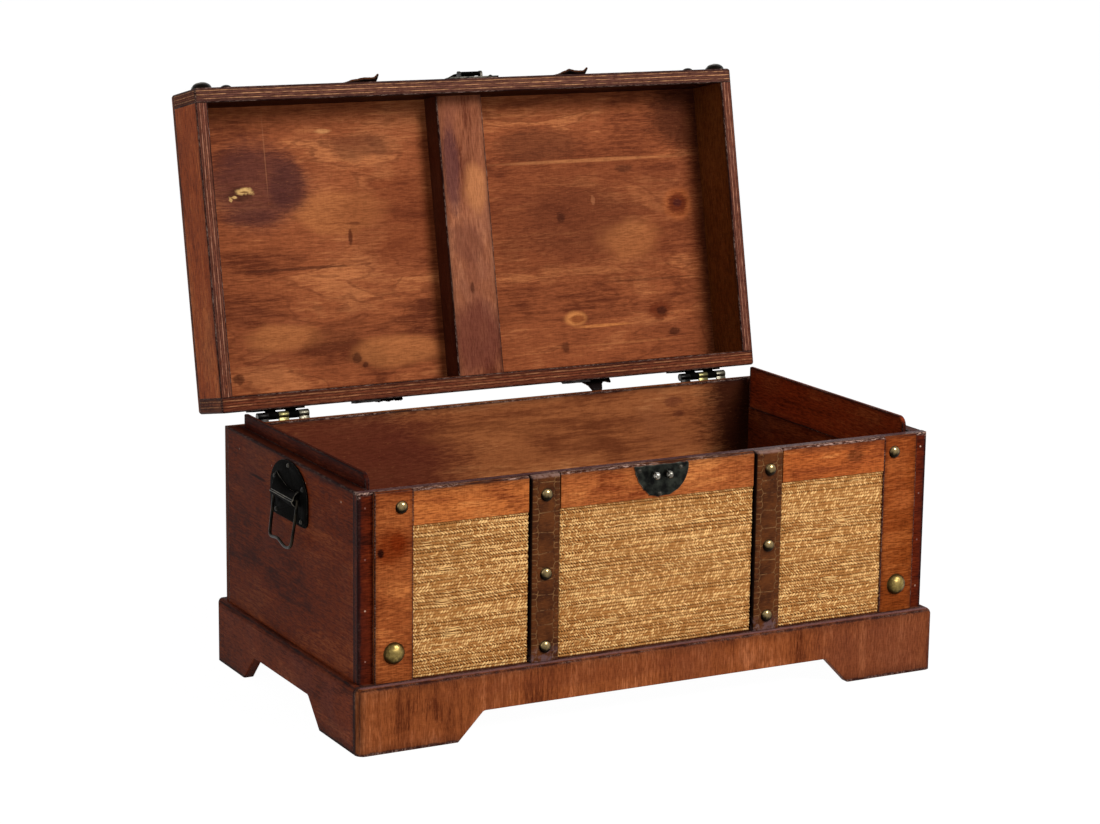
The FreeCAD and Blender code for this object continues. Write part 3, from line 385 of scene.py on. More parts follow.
def seagrass_mat(name, low, high, seed, ribbed, bundles):
    """Rows of two twisted strands on a backing sheet, standing out towards -Y. ribbed is how
    much the standing rows rise and how much lighter they are painted, as painted highlight;
    bundles are the places (x, z) of loose ends of straw."""
    rng = random.Random(seed)
    verts, faces, shades = [], [], []
    width = high.x - low.x
    rows = round((high.z - low.z) / row_pitch)
    # Each row is two tubes that wind round each other; some rows rise a little as ribs.
    for row in range(rows):
        row_z = low.z + (row + 0.5) * (high.z - low.z) / rows
        phase = rng.uniform(0, math.tau)
        twist = twist_length * rng.uniform(0.85, 1.2) * rng.choice((-1, 1))
        steps = int(width / abs(twist) * steps_per_twist)
        for strand in (0, math.pi):
            hue = rng.uniform(-0.03, 0.03)
            lumps = [rng.uniform(-0.27, 0.27) for _ in range(int(2 * width / abs(twist)) + 12)]
            first = len(verts)
            for step in range(steps + 1):
                x = low.x + width * step / steps
                wander = noise.noise(Vector((x * 13, row * 0.22, seed)))
                rib = noise.noise(Vector((x * 15, row * 1.9, seed + 20)))
                rib = max(0.0, min(ribbed, 0.35 * ribbed + rib * 1.7)) if row % 2 else 0.0
                bulk = 1.0 + 0.3 * noise.noise(Vector((x * 90, row * 3.1, strand + seed)))
                angle = (phase + strand + math.tau * (x - low.x) / twist
                         + 2.6 * noise.noise(Vector((x * 45, row * 5.3, seed))))
                nearness = -math.sin(angle)
                radius = strand_radius * bulk
                centre_y = (low.y + strand_radius * 1.5 + rib_rise * (1 - rib)
                            - strand_radius * 0.6 * nearness)
                centre_z = row_z + wander * row_wander + strand_radius * 0.8 * math.cos(angle)
                edge = min(1.0, (row_z - low.z) / trimmed_edge,
                           (high.z - row_z) / trimmed_edge)
                centre_z = row_z + (centre_z - row_z) * edge
                lump = lumps[int(abs(angle) / math.pi)]
                # Each corner's value: a random tone per strand and per lump, made lighter towards
                # the front of the strand and on the ribs as painted light.
                lit = 0.40 + hue + 0.22 * nearness + lump + 0.22 * rib
                lit += 0.10 * noise.noise(Vector((x * 9, row_z * 40, seed + 7)))
                for side in range(strand_sides):
                    turn = math.tau * (side + 0.5) / strand_sides
                    verts.append((x, centre_y + radius * math.cos(turn),
                                  centre_z + radius * math.sin(turn)))
                    # The side of each tube towards the board is painted darker as shade.
                    shades.append(lit - 0.12 * math.cos(turn))
            for step in range(steps):
                ring = first + step * strand_sides
                for side in range(strand_sides):
                    after = (side + 1) % strand_sides
                    faces.append((ring + side, ring + after,
                                  ring + strand_sides + after, ring + strand_sides + side))
            last = first + steps * strand_sides
            faces.append(tuple(range(first + strand_sides - 1, first - 1, -1)))
            faces.append(tuple(range(last, last + strand_sides)))
    # Loose straws lie over the rows, most of them alone and a few in bundles.
    straws = []
    for _ in range(round(width * straws_per_metre)):
        straws.append((rng.uniform(low.x, high.x - longest_straw),
                       rng.uniform(low.z + 0.006, high.z - 0.006), rng.uniform(0.4, 1.0)))
    for x, z in bundles:
        for rise in bundle_rises:
            straws.append((x - rng.uniform(0.008, 0.012), z + rise, rng.uniform(0.5, 0.85)))
    for x, z, share_long in straws:
        run, slope = share_long * longest_straw, rng.uniform(-0.10, 0.10)
        first = len(verts)
        for step in range(straw_steps + 1):
            share = step / straw_steps
            thick = straw_radius * (0.25 + 0.75 * math.sin(math.pi * share))
            for turn in (math.pi * 0.5, math.pi * 1.17, math.pi * 1.83):
                verts.append((x + run * share,
                              low.y + 0.0007 - 0.0009 * math.sin(math.pi * share)
                              - thick * math.sin(turn),
                              z + run * slope * math.sin(share * 2.4) + thick * math.cos(turn)))
                shades.append(rng.uniform(1.0, 1.3))
        for step in range(straw_steps):
            ring = first + step * straw_sides
            for side in range(straw_sides):
                one, two = ring + side, ring + (side + 1) % straw_sides
                faces.append((one, two, two + straw_sides, one + straw_sides))
        last = first + straw_steps * straw_sides
        faces += [(first + 2, first + 1, first), (last, last + 1, last + 2)]
    # The backing sheet closes the panel behind.
    first = len(verts)
    for y in (high.y - backing_thickness, high.y):
        for x, z in ((low.x, low.z), (high.x, low.z), (high.x, high.z), (low.x, high.z)):
            verts.append((x, y, z))
            shades.append(0.0)
    for face in ((0, 1, 2, 3), (7, 6, 5, 4), (4, 5, 1, 0), (5, 6, 2, 1), (6, 7, 3, 2),
                 (7, 4, 0, 3)):
        faces.append(tuple(first + corner for corner in face))
    smooth = [len(face) == 4 and max(face) < first for face in faces]
    return new_thing(name, verts, faces, smooth, shade=shades)


grass, shader, start = new_finish("twined_seagrass")
position = start.node("TexCoord", {}, {}, "Object")
# The shade value holds the strands' random tone together with their painted light and shade.
shade = start.node("Attribute", {"attribute_name": "shade"}, {}, "Fac")
wisps = position.stretched((150.0, 300.0, 400.0)).cloud(2.0, 4.0, 0.7)
patches = position.cloud(28.0, 3.0, 0.6)
value = shade + (wisps - 0.5) * 0.55 + (patches - 0.5) * 0.2
colour = value.ramp(-0.10, 0.42).over(stain(104, 64, 28), stain(168, 113, 57))
colour = value.ramp(0.42, 1.05).over(colour, stain(238, 194, 128))
colour = (patches.ramp(0.5, 0.75) * 0.15).over(colour, stain(164, 98, 42))
connect(shader, "Base Color", colour)
connect(shader, "Roughness", 0.6 + (wisps - 0.5) * 0.3)
shader.inputs["Specular IOR Level"].default_value = 0.08
connect(shader, "Normal", start.node("Bump", {}, {"Strength": 0.3, "Distance": 0.0003,
                                                  "Height": wisps}))
for seed, name, ribbed, bundles in (
        (3, "left", 1.0, ((-0.272, 0.1345), (-0.274, 0.1290), (-0.285, 0.2080), (-0.256, 0.2345),
                          (-0.286, 0.1690))),
        (4, "centre", 0.7, ((0.060, 0.2290), (-0.063, 0.1180))),
        (5, "right", 0.5, ((0.266, 0.2065), (0.250, 0.1340), (0.242, 0.1130), (0.258, 0.1840)))):
    node = "seagrass_panel_" + name
    mat = seagrass_mat("seagrass_" + name, *reach(node), seed, ribbed, bundles)
    mat.data.materials.append(grass)
    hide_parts(node)
    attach(mat, "chest")

# ---------------------------------------------------------------- leather straps on the front
# Two straps of embossed crocodile leather, padded and glued down the front in grooves
# between the facing strips. Their raised scales have pale creases. Their sides are painted
# near black: a dark edge, and painted shade in the gap beside each strap.
leather_step = 0.0009
broad_scale, small_scale = 3.0, 1.0
round_over = 0.0024
top_roll = 0.0035
scale_swell, crease_width = 0.0007, 0.0009
padding, front_inset = 0.0006, 0.0014


def scale_points(seed, width, length):
    """Centres and sizes of the leather's scales: one broad column between two narrow ones."""
    rng = random.Random(seed)
    points = []
    down = -0.01
    while down < length + 0.02:
        down += rng.uniform(0.013, 0.027)
        points.append((width * rng.uniform(0.46, 0.54), down, broad_scale))
    for across in (0.0035, width - 0.0035):
        down = -0.006
        while down < length + 0.01:
            down += rng.uniform(0.0055, 0.0095)
            points.append((across + rng.uniform(-0.0008, 0.0008), down,
                           small_scale * rng.uniform(0.9, 1.25)))
    return points


def crease(points, across, down):
    """How far a spot lies from the nearest crease between two scales, in metres."""
    near = sorted((math.hypot(across - a, down - d) / size, size)
                  for a, d, size in points if abs(down - d) < 0.045)
    (one, size_one), (two, size_two) = near[:2]
    return (two - one) * size_one * size_two / (size_one + size_two)


def front_strap(name, low, high, seed):
    """A strap lofted from its left side round the front to its right side."""
    width, length, thick = high.x - low.x, high.z - low.z, high.y - low.y
    points = scale_points(seed, width, length)
    # Points (x, y, side share) across the strap, the right edge mirrored from the left one.
    section = [(low.x, high.y, 1.0), (low.x, high.y - thick * 0.5, 1.0),
               (low.x, low.y + round_over, 1.0),
               (low.x + round_over * 0.3, low.y + round_over * 0.3, 0.4)]
    across = low.x + round_over
    columns = round((width - 2 * round_over) / leather_step)
    for column in range(columns + 1):
        section.append((across + (width - 2 * round_over) * column / columns, low.y, 0.0))
    section += [(low.x + high.x - x, y, side) for x, y, side in reversed(section[:4])]
    rows = round(length / leather_step)
    verts, faces, sides, creases = [], [], [], []
    for row in range(rows + 1):
        z = low.z + length * row / rows
        top = max(0.0, z - (high.z - top_roll))
        roll = top_roll - math.sqrt(max(0.0, top_roll ** 2 - top ** 2))
        for x, y, side in section:
            gap = crease(points, x - low.x, z - low.z) if side < 0.9 else 0.01
            swell = scale_swell * (1 - math.exp(-gap / crease_width))
            pad = padding * math.sin(math.pi * (x - low.x) / width)
            grit = 0.00015 * noise.noise(Vector((x * 900, z * 900, seed)))
            front = (1 - side) * (front_inset - swell - pad + grit)
            verts.append((x, min(high.y, y + front + roll), z))
            sides.append(side)
            creases.append(gap)
    count = len(section)
    for row in range(rows):
        for column in range(count - 1):
            corner = row * count + column
            faces.append((corner, corner + 1, corner + count + 1, corner + count))
    faces.append(tuple(range(count - 1, -1, -1)))
    faces.append(tuple(rows * count + column for column in range(count)))
    faces.append(tuple([row * count for row in range(rows + 1)]
                       + [row * count + count - 1 for row in range(rows, -1, -1)]))
    smooth = [len(face) == 4 for face in faces]
    return new_thing(name, verts, faces, smooth, side=sides, gap=creases)


leather, shader, start = new_finish("embossed_leather")
position = start.node("TexCoord", {}, {}, "Object")
gap = start.node("Attribute", {"attribute_name": "gap"}, {}, "Fac")
side_share = start.node("Attribute", {"attribute_name": "side"}, {}, "Fac")
clouds = position.cloud(45.0, 4.0, 0.6)
pebble = position.cloud(900.0, 2.0, 0.5)
worn = position.cloud(140.0, 3.0, 0.7)
wrinkles = position.stretched((110.0, 110.0, 900.0)).cloud(1.0, 3.0, 0.6)
tanned = clouds + (wrinkles - 0.5) * 0.5
colour = tanned.ramp(0.3, 0.7).over(stain(56, 27, 11), stain(88, 47, 20))
groove = gap.ramp(0.0012, 0.0003)
colour = (groove * 0.6).over(colour, stain(50, 24, 14))
thin_line = gap.ramp(0.0008, 0.0001) * worn.ramp(0.36, 0.56)
colour = (thin_line * 0.55).over(colour, stain(148, 106, 64))
colour = (wrinkles.ramp(0.60, 0.72) * 0.35).over(colour, stain(140, 92, 54))
# Sides and undersides are painted near black: a dark edge, and painted shade in the gaps beside
# the straps and under the curled ends of the lid straps.
colour = side_share.ramp(0.3, 0.9).over(colour, stain(18, 10, 9))
height_up = position.part(2)
scuffed = height_up.ramp(0.103, 0.086) * worn.ramp(0.42, 0.6)
colour = (scuffed * 0.5).over(colour, stain(104, 84, 88))
on_front = position.part(1).ramp(-0.2, -0.25)
turned = height_up.ramp(0.3025, 0.3065) * worn.ramp(0.30, 0.55) * on_front
colour = (turned * 0.7).over(colour, stain(138, 108, 98))
connect(shader, "Base Color", colour)
connect(shader, "Roughness", 0.42 + (clouds - 0.5) * 0.2 + pebble * 0.08)
shader.inputs["Specular IOR Level"].default_value = 0.04
connect(shader, "Normal", start.node("Bump", {}, {"Strength": 0.25, "Distance": 0.0003,
                                                  "Height": pebble + worn * 0.6 + wrinkles}))
for seed, side in ((11, "left"), (17, "right")):
    node = "front_strap_" + side
    strap = front_strap("leather_strap_front_" + side, *reach(node), seed)
    strap.data.materials.append(leather)
    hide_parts(node)
    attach(strap, "chest")

# ---------------------------------------------------------------- nails and pins
# Domed nails of antiqued brass through the straps and stiles; the large ones are dimpled.
# Their crowns are rubbed bright, their upper sides are painted lighter as highlight and their
# lower sides darker as shade. Flush panel pins under pale filler hold the boards.
nail_spread = 0.034
front_line = -0.28
skirt, skirt_height = 1.04, 0.1
dent_scale, dent_depth = 2.6, 0.07


def pick(*things):
    """Selects these things alone and makes the first one active."""
    bpy.ops.object.select_all(action="DESELECT")
    for thing in things:
        thing.select_set(True)
    if things:
        bpy.context.view_layer.objects.active = things[0]


def shape_whole(operator, **settings):
    """Uses an edit mode operator on the whole of the active thing."""
    bpy.ops.object.mode_set(mode="EDIT")
    bpy.ops.mesh.select_all(action="SELECT")
    operator(**settings)
    bpy.ops.object.mode_set(mode="OBJECT")


def twin(thing):
    """A copy of a thing, with a mesh of its own."""
    made = thing.copy()
    made.data = thing.data.copy()
    bpy.context.collection.objects.link(made)
    return made


def nail_boxes(node):
    """Lowest and highest corner of each nail in a node; lid nails are measured shut."""
    turn = lid_shut if node in lid_nodes else Matrix()
    nails = []
    for vertex in frame["nodes"][node].data.vertices:
        spot = turn @ vertex.co
        nail = next((nail for nail in nails if (spot - nail[0]).length < nail_spread), None)
        if nail:
            nail.append(spot)
        else:
            nails.append([spot])
    return [(Vector([min(c[axis] for c in nail) for axis in range(3)]),
             Vector([max(c[axis] for c in nail) for axis in range(3)])) for nail in nails]


def domed_head(dimples):
    """A nail head of radius 1 and height 1, with a thin skirt, standing on z = 0."""
    pick()
    bpy.ops.mesh.primitive_uv_sphere_add(segments=36, ring_count=24, radius=1.0)
    head = bpy.context.object
    shape_whole(bpy.ops.mesh.bisect, plane_co=(0, 0, 0.02), plane_no=(0, 0, 1), use_fill=True,
                clear_inner=True)
    rubbed_and_lit = head.data.attributes.new("rubbed_and_lit", "FLOAT", "POINT")
    # This attribute says how light a spot is painted: most on the top, which is rubbed, and on
    # the upper side, which is painted highlight; low values paint the lower side dark as shade.
    lit_side = 0.2 if dimples else 0.6
    for vertex in head.data.vertices:
        dent = noise.noise(vertex.co * dent_scale) if dimples else 0.0
        rubbed_and_lit.data[vertex.index].value = vertex.co.z * 0.6 + vertex.co.y * lit_side - 0.05
        vertex.co *= 1.0 - dent_depth * max(0.0, dent)
        if vertex.co.z < skirt_height:
            vertex.co.x *= skirt
            vertex.co.y *= skirt
    bpy.ops.object.shade_smooth_by_angle(angle=math.radians(50))
    return head


def nail_metal(name, tarnish_and_shade, rubbed_and_lit_tone, rough=0.28):
    """Tarnished metal, lighter on the rubbed top and, as painted highlight, on the upper side,
    and darker below as painted shade.
    """
    material, shader, start = new_finish(name)
    position = start.node("TexCoord", {}, {}, "Object")
    rubbed_and_lit = start.node("Attribute", {"attribute_name": "rubbed_and_lit"}, {}, "Fac")
    patina = position.cloud(260.0, 4.0, 0.6)
    spots = position.cloud(700.0, 3.0, 0.6)
    polish_and_highlight = (rubbed_and_lit + (patina - 0.5) * 0.7).ramp(0.15, 0.85)
    colour = polish_and_highlight.over(tarnish_and_shade, rubbed_and_lit_tone)
    colour = (spots.ramp(0.52, 0.7) * 0.5).over(colour, tarnish_and_shade)
    connect(shader, "Base Color", colour)
    connect(shader, "Roughness", rough - polish_and_highlight * 0.16 + spots.ramp(0.5, 0.7) * 0.15)
    shader.inputs["Metallic"].default_value = 1.0
    connect(shader, "Normal", start.node("Bump", {}, {"Strength": 0.2, "Distance": 0.0003,
                                                      "Height": spots + patina}))
    return material


small_brass = nail_metal("small_brass", stain(22, 15, 8), stain(150, 128, 88))
large_brass = nail_metal("large_brass", stain(66, 52, 26), stain(166, 142, 82), 0.44)
lid_brass = nail_metal("lid_brass", stain(18, 15, 11), stain(112, 94, 64))
for node, body, height, dimples, brass in (
        ("front_nails_small", "chest", 0.005, False, small_brass),
        ("front_nails_large", "chest", 0.0085, True, large_brass),
        ("lid_nails_small", "lid", 0.005, False, lid_brass),
        ("lid_nails_large", "lid", 0.0085, True, lid_brass)):
    head = domed_head(dimples)
    copies = []
    for low, high in nail_boxes(node):
        radius = (high.x - low.x) / 2
        place = (low + high) / 2
        if low.y < front_line:
            place.y = low.y + height
            stand = Matrix.Translation(place) @ Matrix.Rotation(math.radians(90), 4, "X")
        else:
            place.z = high.z - height
            stand = Matrix.Translation(place) @ Matrix.Rotation(math.pi, 4, "Z")
        stand = stand @ Matrix.Diagonal((radius / skirt, radius / skirt, height, 1.0))
        if node in lid_nodes:
            stand = lid_open @ stand
        copies.append(twin(head))
        copies[-1].data.transform(stand)
    bpy.data.objects.remove(head)
    pick(*copies)
    bpy.ops.object.join()
    nails = bpy.context.object
    nails.name = node + "_domes"
    wear(nails, brass)
    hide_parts(node)
    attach(nails, body)

filler, shader, start = new_finish("pale_filler")
position = start.node("TexCoord", {}, {}, "Object")
colour = position.cloud(900.0).ramp(0.3, 0.7).over(stain(140, 94, 70), stain(206, 170, 144))
colour = position.cloud(14.0).ramp(0.42, 0.56).over(stain(96, 44, 28), colour)
connect(shader, "Base Color", colour)
shader.inputs["Roughness"].default_value = 0.6
wear(frame["nodes"]["panel_pins"], filler)

# ---------------------------------------------------------------- lock plate and staple
# A blackened iron plate with a hand-cut outline, nailed over the middle of the top rail, and
# a staple of two bright steel lugs. The black has worn off along the edges, and these
# lighter edges also serve as painted highlights.


def metal(name, deep, bright, rough, grit, metallic=1.0, gleam=0.12):
    material, shader, start = new_finish(name)
    position = start.node("TexCoord", {}, {}, "Object")
    patches = position.cloud(90.0, 4.0, 0.6)
    pits = position.cloud(500.0, 4.0, 0.65)
    colour = patches.ramp(0.35, 0.7).over(deep, bright)
    colour = (pits.ramp(0.56, 0.72) * grit).over(colour, deep)
    connect(shader, "Base Color", colour)
    connect(shader, "Roughness", rough + (patches - 0.5) * 0.2 + pits.ramp(0.5, 0.7) * 0.15)
    shader.inputs["Metallic"].default_value = metallic
    shader.inputs["Specular IOR Level"].default_value = gleam
    connect(shader, "Normal", start.node("Bump", {}, {"Strength": 0.5, "Distance": 0.0005,
                                                      "Height": pits + patches * 2.0}))
    return material


black_iron = metal("black_iron", stain(2, 2, 1), stain(9, 7, 6), 0.55, 0.4, 0.0, 0.008)
lock_iron = metal("lock_iron", stain(8, 8, 7), stain(42, 44, 38), 0.36, 0.5, 0.25, 0.05)
hasp_iron = metal("hasp_iron", stain(12, 11, 10), stain(72, 68, 60), 0.3, 0.5, 0.6)
# The lighter iron of worn edges, which also stands in as painted highlight along them.
worn_iron_and_highlight = metal("worn_iron_and_highlight", stain(36, 34, 30), stain(112, 106, 94), 0.34, 0.5, 0.7)
bright_steel = metal("bright_steel", stain(96, 92, 84), stain(176, 172, 162), 0.26, 0.4)
grey_steel = metal("grey_steel", stain(70, 68, 62), stain(150, 146, 132), 0.3, 0.3)


def finish_piece(thing, body, slot, *nodes):
    """What each new rigid piece needs: its nodes hidden and its body joined; slot is not used."""
    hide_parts(*nodes)
    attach(thing, body)


def ease_edges(thing, width, finishes):
    """Bevels the sharp edges; the bevel shows the second finish, worn through the first, and
    where that finish is lighter it is also a painted highlight along the edges.
    """
    thing.data.materials.clear()
    for finish in finishes:
        thing.data.materials.append(finish)
    bevel = thing.modifiers.new("worn_and_highlight_edges", "BEVEL")
    bevel.width = width
    bevel.segments = 2
    bevel.limit_method = "ANGLE"
    bevel.angle_limit = math.radians(42)
    bevel.material = 1
    pick(thing)
    bpy.ops.object.modifier_apply(modifier=bevel.name)
    bpy.ops.object.shade_smooth_by_angle(angle=math.radians(40))


def worn_copy(node, name, body, slot, width, finishes):
    """A copy of a metal piece, its triangles joined, with eased edges that are worn and, in a
    lighter finish, painted as highlights.
    """
    thing = bpy.data.objects.new(name, frame["nodes"][node].data.copy())
    bpy.context.collection.objects.link(thing)
    pick(thing)
    bpy.ops.object.mode_set(mode="EDIT")
    bpy.ops.mesh.select_all(action="SELECT")
    bpy.ops.mesh.remove_doubles(threshold=0.00002)
    bpy.ops.mesh.dissolve_limited(angle_limit=math.radians(2))
    bpy.ops.object.mode_set(mode="OBJECT")
    ease_edges(thing, width, finishes)
    finish_piece(thing, body, slot, node)
    return thing


# The shield's outline, as (x, z) in millimetres.
lock_outline = ((-35.6, 303.4), (-34.6, 304.9), (-28.0, 304.3), (-20.0, 304.9), (-8.0, 304.2),
                (4.0, 304.9), (16.0, 304.2), (27.0, 304.9), (34.0, 304.3), (38.8, 304.9),
                (40.2, 302.0), (39.8, 296.0), (38.2, 289.5), (35.6, 283.0), (31.6, 277.5),
                (26.0, 272.0), (20.0, 269.0), (14.0, 266.0), (6.0, 266.2), (-1.8, 264.6),
                (-8.0, 266.8), (-13.7, 267.6), (-17.5, 272.0), (-22.0, 275.6), (-25.0, 280.6),
                (-29.0, 285.0), (-30.4, 290.0), (-33.2, 294.6), (-33.6, 299.0))
low, high = reach("lock_plate")
plate_middle = (0.0, low.y, 0.292)
pick()
bpy.ops.mesh.primitive_circle_add(vertices=len(lock_outline), radius=0.03, fill_type="NGON")
plate = bpy.context.object
plate.name = "lock_plate_shield"
for vertex, (x, z) in zip(plate.data.vertices, lock_outline):
    vertex.co = (x / 1000, high.y, z / 1000)
bpy.ops.object.mode_set(mode="EDIT")
bpy.ops.mesh.select_all(action="SELECT")
for forward, narrower in ((-0.0013, 1.0), (-0.0004, 0.95), (-0.0002, 0.84), (0.0004, 0.7)):
    bpy.ops.mesh.extrude_region_move(TRANSFORM_OT_translate={"value": (0, forward, 0)})
    bpy.ops.transform.resize(value=(narrower, 1, narrower), center_override=plate_middle)
bpy.ops.mesh.select_all(action="SELECT")
bpy.ops.mesh.normals_make_consistent(inside=False)
bpy.ops.object.mode_set(mode="OBJECT")
ease_edges(plate, 0.0004, (lock_iron, worn_iron_and_highlight))
finish_piece(plate, "chest", "black_iron", "lock_plate")
worn_copy("lock_staple", "staple_lugs", "chest", "bright_steel", 0.0011,
          (bright_steel, bright_steel))
wear(frame["nodes"]["plate_nails"], hasp_iron)

# ---------------------------------------------------------------- drop handles
# An iron shield plate on each end, with a band pressed out over the bail, whose top bar turns
# in it. The bail is a ring of wire with a wavy grip.
for side in ("left", "right"):
    worn_copy("handle_plate_" + side, "handle_shield_" + side, "chest", "black_iron", 0.0007,
              (black_iron, worn_iron_and_highlight))
wear(frame["nodes"]["handle_rivets"], black_iron)

handle_axis = Vector((-0.3976, -0.0846, 0.264))
plate_face = reach("handle_plate_left")[0].x
band_reach, band_rise, band_lift = 0.0335, 0.0085, 0.0075
lower_lip, flared_mouth, wall_thickness = 0.0022, 0.015, 0.0014
band_steps = 26
pick()
bpy.ops.mesh.primitive_grid_add(x_subdivisions=band_steps, y_subdivisions=14, size=1.0)
band = bpy.context.object
band.name = "handle_band_left"
for vertex in band.data.vertices:
    along, up = vertex.co.x * 2, vertex.co.y * 2
    flare = max(0.0, along) ** 2
    lift = math.cos(up * math.pi / 2) ** 0.6 * band_lift + (lower_lip if up < 0 else 0.0)
    lift *= 1.0 - 0.55 * flare * max(0.0, up)
    rise = up * band_rise + max(0.0, up) * (flared_mouth * flare + 0.0016 * math.sin(along * 4.0))
    droop = min(0.0, up) * 0.0018 * math.sin(along * 3.0)
    vertex.co = (plate_face - 0.0004 - lift, handle_axis.y + along * band_reach,
                 handle_axis.z + rise - droop)
wall = band.modifiers.new("wall", "SOLIDIFY")
wall.thickness = wall_thickness
wall.offset = 0.0
bpy.ops.object.modifier_apply(modifier=wall.name)
shape_whole(bpy.ops.mesh.normals_make_consistent, inside=False)
ease_edges(band, 0.0006, (black_iron, worn_iron_and_highlight))

# Points round the wire: how far along the end board and how far down from the pin.
bail_points = []
bail_lean = math.radians(8)
wire_radius = 0.0019
for along, down in ((0.0, 0.0), (0.030, 0.0), (0.0345, 0.001), (0.035, 0.006), (0.034, 0.03),
                    (0.0332, 0.048), (0.0325, 0.0545), (0.028, 0.0572), (0.018, 0.0558),
                    (0.009, 0.0548), (0.0, 0.0568), (-0.009, 0.0594), (-0.018, 0.0607),
                    (-0.028, 0.0588), (-0.0325, 0.0552), (-0.0335, 0.048), (-0.0345, 0.03),
                    (-0.035, 0.006), (-0.0345, 0.001), (-0.030, 0.0)):
    bail_points.append(handle_axis + Vector((-down * math.sin(bail_lean), along,
                                             -down * math.cos(bail_lean))))
curve = bpy.data.curves.new("bail_ring_left", "CURVE")
curve.dimensions = "3D"
ring = curve.splines.new("NURBS")
ring.points.add(len(bail_points) - 1)
for point, place in zip(ring.points, bail_points):
    point.co = (*place, 1.0)
ring.order_u = 3
ring.use_cyclic_u = True
ring.resolution_u = 6
curve.bevel_depth = wire_radius
curve.bevel_resolution = 4
bail = bpy.data.objects.new("bail_ring_left", curve)
bpy.context.collection.objects.link(bail)
pick(bail)
bpy.ops.object.convert(target="MESH")
bail = bpy.context.object
wire_iron = metal("wire_iron", stain(10, 9, 7), stain(48, 42, 33), 0.3, 0.5, 0.45, 0.06)
wear(bail, wire_iron)
bpy.ops.object.shade_smooth_by_angle(angle=math.radians(60))
for thing, node, bodies in ((band, "handle_clip_", ("chest", "chest")),
                            (bail, "bail_", ("handle_left", "handle_right"))):
    other = twin(thing)
    other.name = thing.name.replace("left", "right")
    other.data.transform(Matrix.Diagonal((-1.0, 1.0, 1.0, 1.0)))
    other.data.flip_normals()
    finish_piece(thing, bodies[0], "black_iron", node + "left")
    finish_piece(other, bodies[1], "black_iron", node + "right")

# ---------------------------------------------------------------- butt hinges
# Two steel butt hinges screwed to the back; their knuckles turn on a plain pin. The black
# paint has worn off the knuckles, so that steel and the brassy primer show.
hinge_middle, knuckle_length = 0.310, 0.014
knuckle_tones = ((-1.6, -1.4, stain(62, 59, 52)), (-0.5, -0.45, stain(94, 88, 54)),
                 (0.45, 0.5, stain(64, 61, 54)), (1.4, 1.6, stain(84, 80, 68)))
for side, sign in (("left", -1), ("right", 1)):
    painted, shader, start = new_finish("worn_hinge_" + side)
    position = start.node("TexCoord", {}, {}, "Object")
    along = position.part(0) - sign * hinge_middle
    pits = position.cloud(500.0, 4.0, 0.65)
    bare = (pits - 0.5) * 0.006 + along
    colour = stain(10, 9, 8)
    for begins, ends, tone in knuckle_tones:
        colour = bare.ramp(begins * knuckle_length, ends * knuckle_length).over(colour, tone)
    colour = (pits.ramp(0.54, 0.68) * 0.6).over(colour, stain(30, 27, 20))
    connect(shader, "Base Color", colour)
    connect(shader, "Roughness", 0.26 + pits.ramp(0.5, 0.7) * 0.2)
    shader.inputs["Metallic"].default_value = 0.9
    worn_copy("hinge_leaf_body_" + side, "hinge_body_leaf_" + side, "chest", "hinge_iron",
              0.0004, (painted, painted))
    worn_copy("hinge_leaf_lid_" + side, "hinge_lid_leaf_" + side, "lid", "hinge_iron",
              0.0004, (black_iron, painted))
    wear(frame["nodes"]["hinge_pin_" + side], grey_steel)
wear(frame["nodes"]["hinge_screws_body"], grey_steel)
wear(frame["nodes"]["hinge_screws_lid"], grey_steel)

# ---------------------------------------------------------------- lid
# A shallow tray: front, back and side rails of thick ply round a top panel, with one wide
# batten from front to back. The rims show the lines of the ply. The inner faces of the front
# and side rails and the left side of the batten are painted dark as shade.
rail_dark, rail_middle, rail_light = stain(66, 28, 17), stain(116, 60, 36), stain(156, 94, 60)
rim_purple = stain(104, 68, 58)
ply_pale = stain(204, 150, 104)
painted_inner_shade = stain(30, 9, 4)
low, high = reach("lid_front_rail")
depth = high.y - low.y
# The front rail's inner face is painted nearly black as shade.
wooden("lid_front_rail", "X", rail_dark, rail_middle, rail_light, closed=((2, 1),), flecks=0.5,
       edge=0.003, faces=((2, -1, rim_purple, 0.75), (1, 1, painted_inner_shade, 0.85)),
       ply=(1, (low.y + depth * 0.20, low.y + depth * 0.46, low.y + depth * 0.74), 0.0008,
            ply_pale))
low, high = reach("lid_back_rail")
depth = high.y - low.y
wooden("lid_back_rail", "X", rail_dark, rail_middle, rail_light, closed=((2, 1),), flecks=0.4,
       edge=0.003, faces=((2, -1, stain(120, 62, 42), 0.6),),
       ply=(1, (low.y + depth * 0.25, low.y + depth * 0.60), 0.0010,
            stain(178, 124, 84)))
for side, inner in (("left", 1), ("right", -1)):
    low, high = reach("lid_side_rail_" + side)
    width = high.x - low.x
    # The inner face of each side rail is painted darker as shade.
    wooden("lid_side_rail_" + side, "Y", stain(112, 44, 19), stain(168, 81, 41),
           stain(202, 114, 64), closed=((2, 1), (1, 1), (1, -1)), flecks=0.5, edge=0.003,
           faces=((2, -1, rim_purple, 0.75), (0, inner, stain(94, 52, 18), 0.85)),
           ply=(0, (low.x + width * 0.32, low.x + width * 0.64), 0.0009, stain(176, 126, 100)))

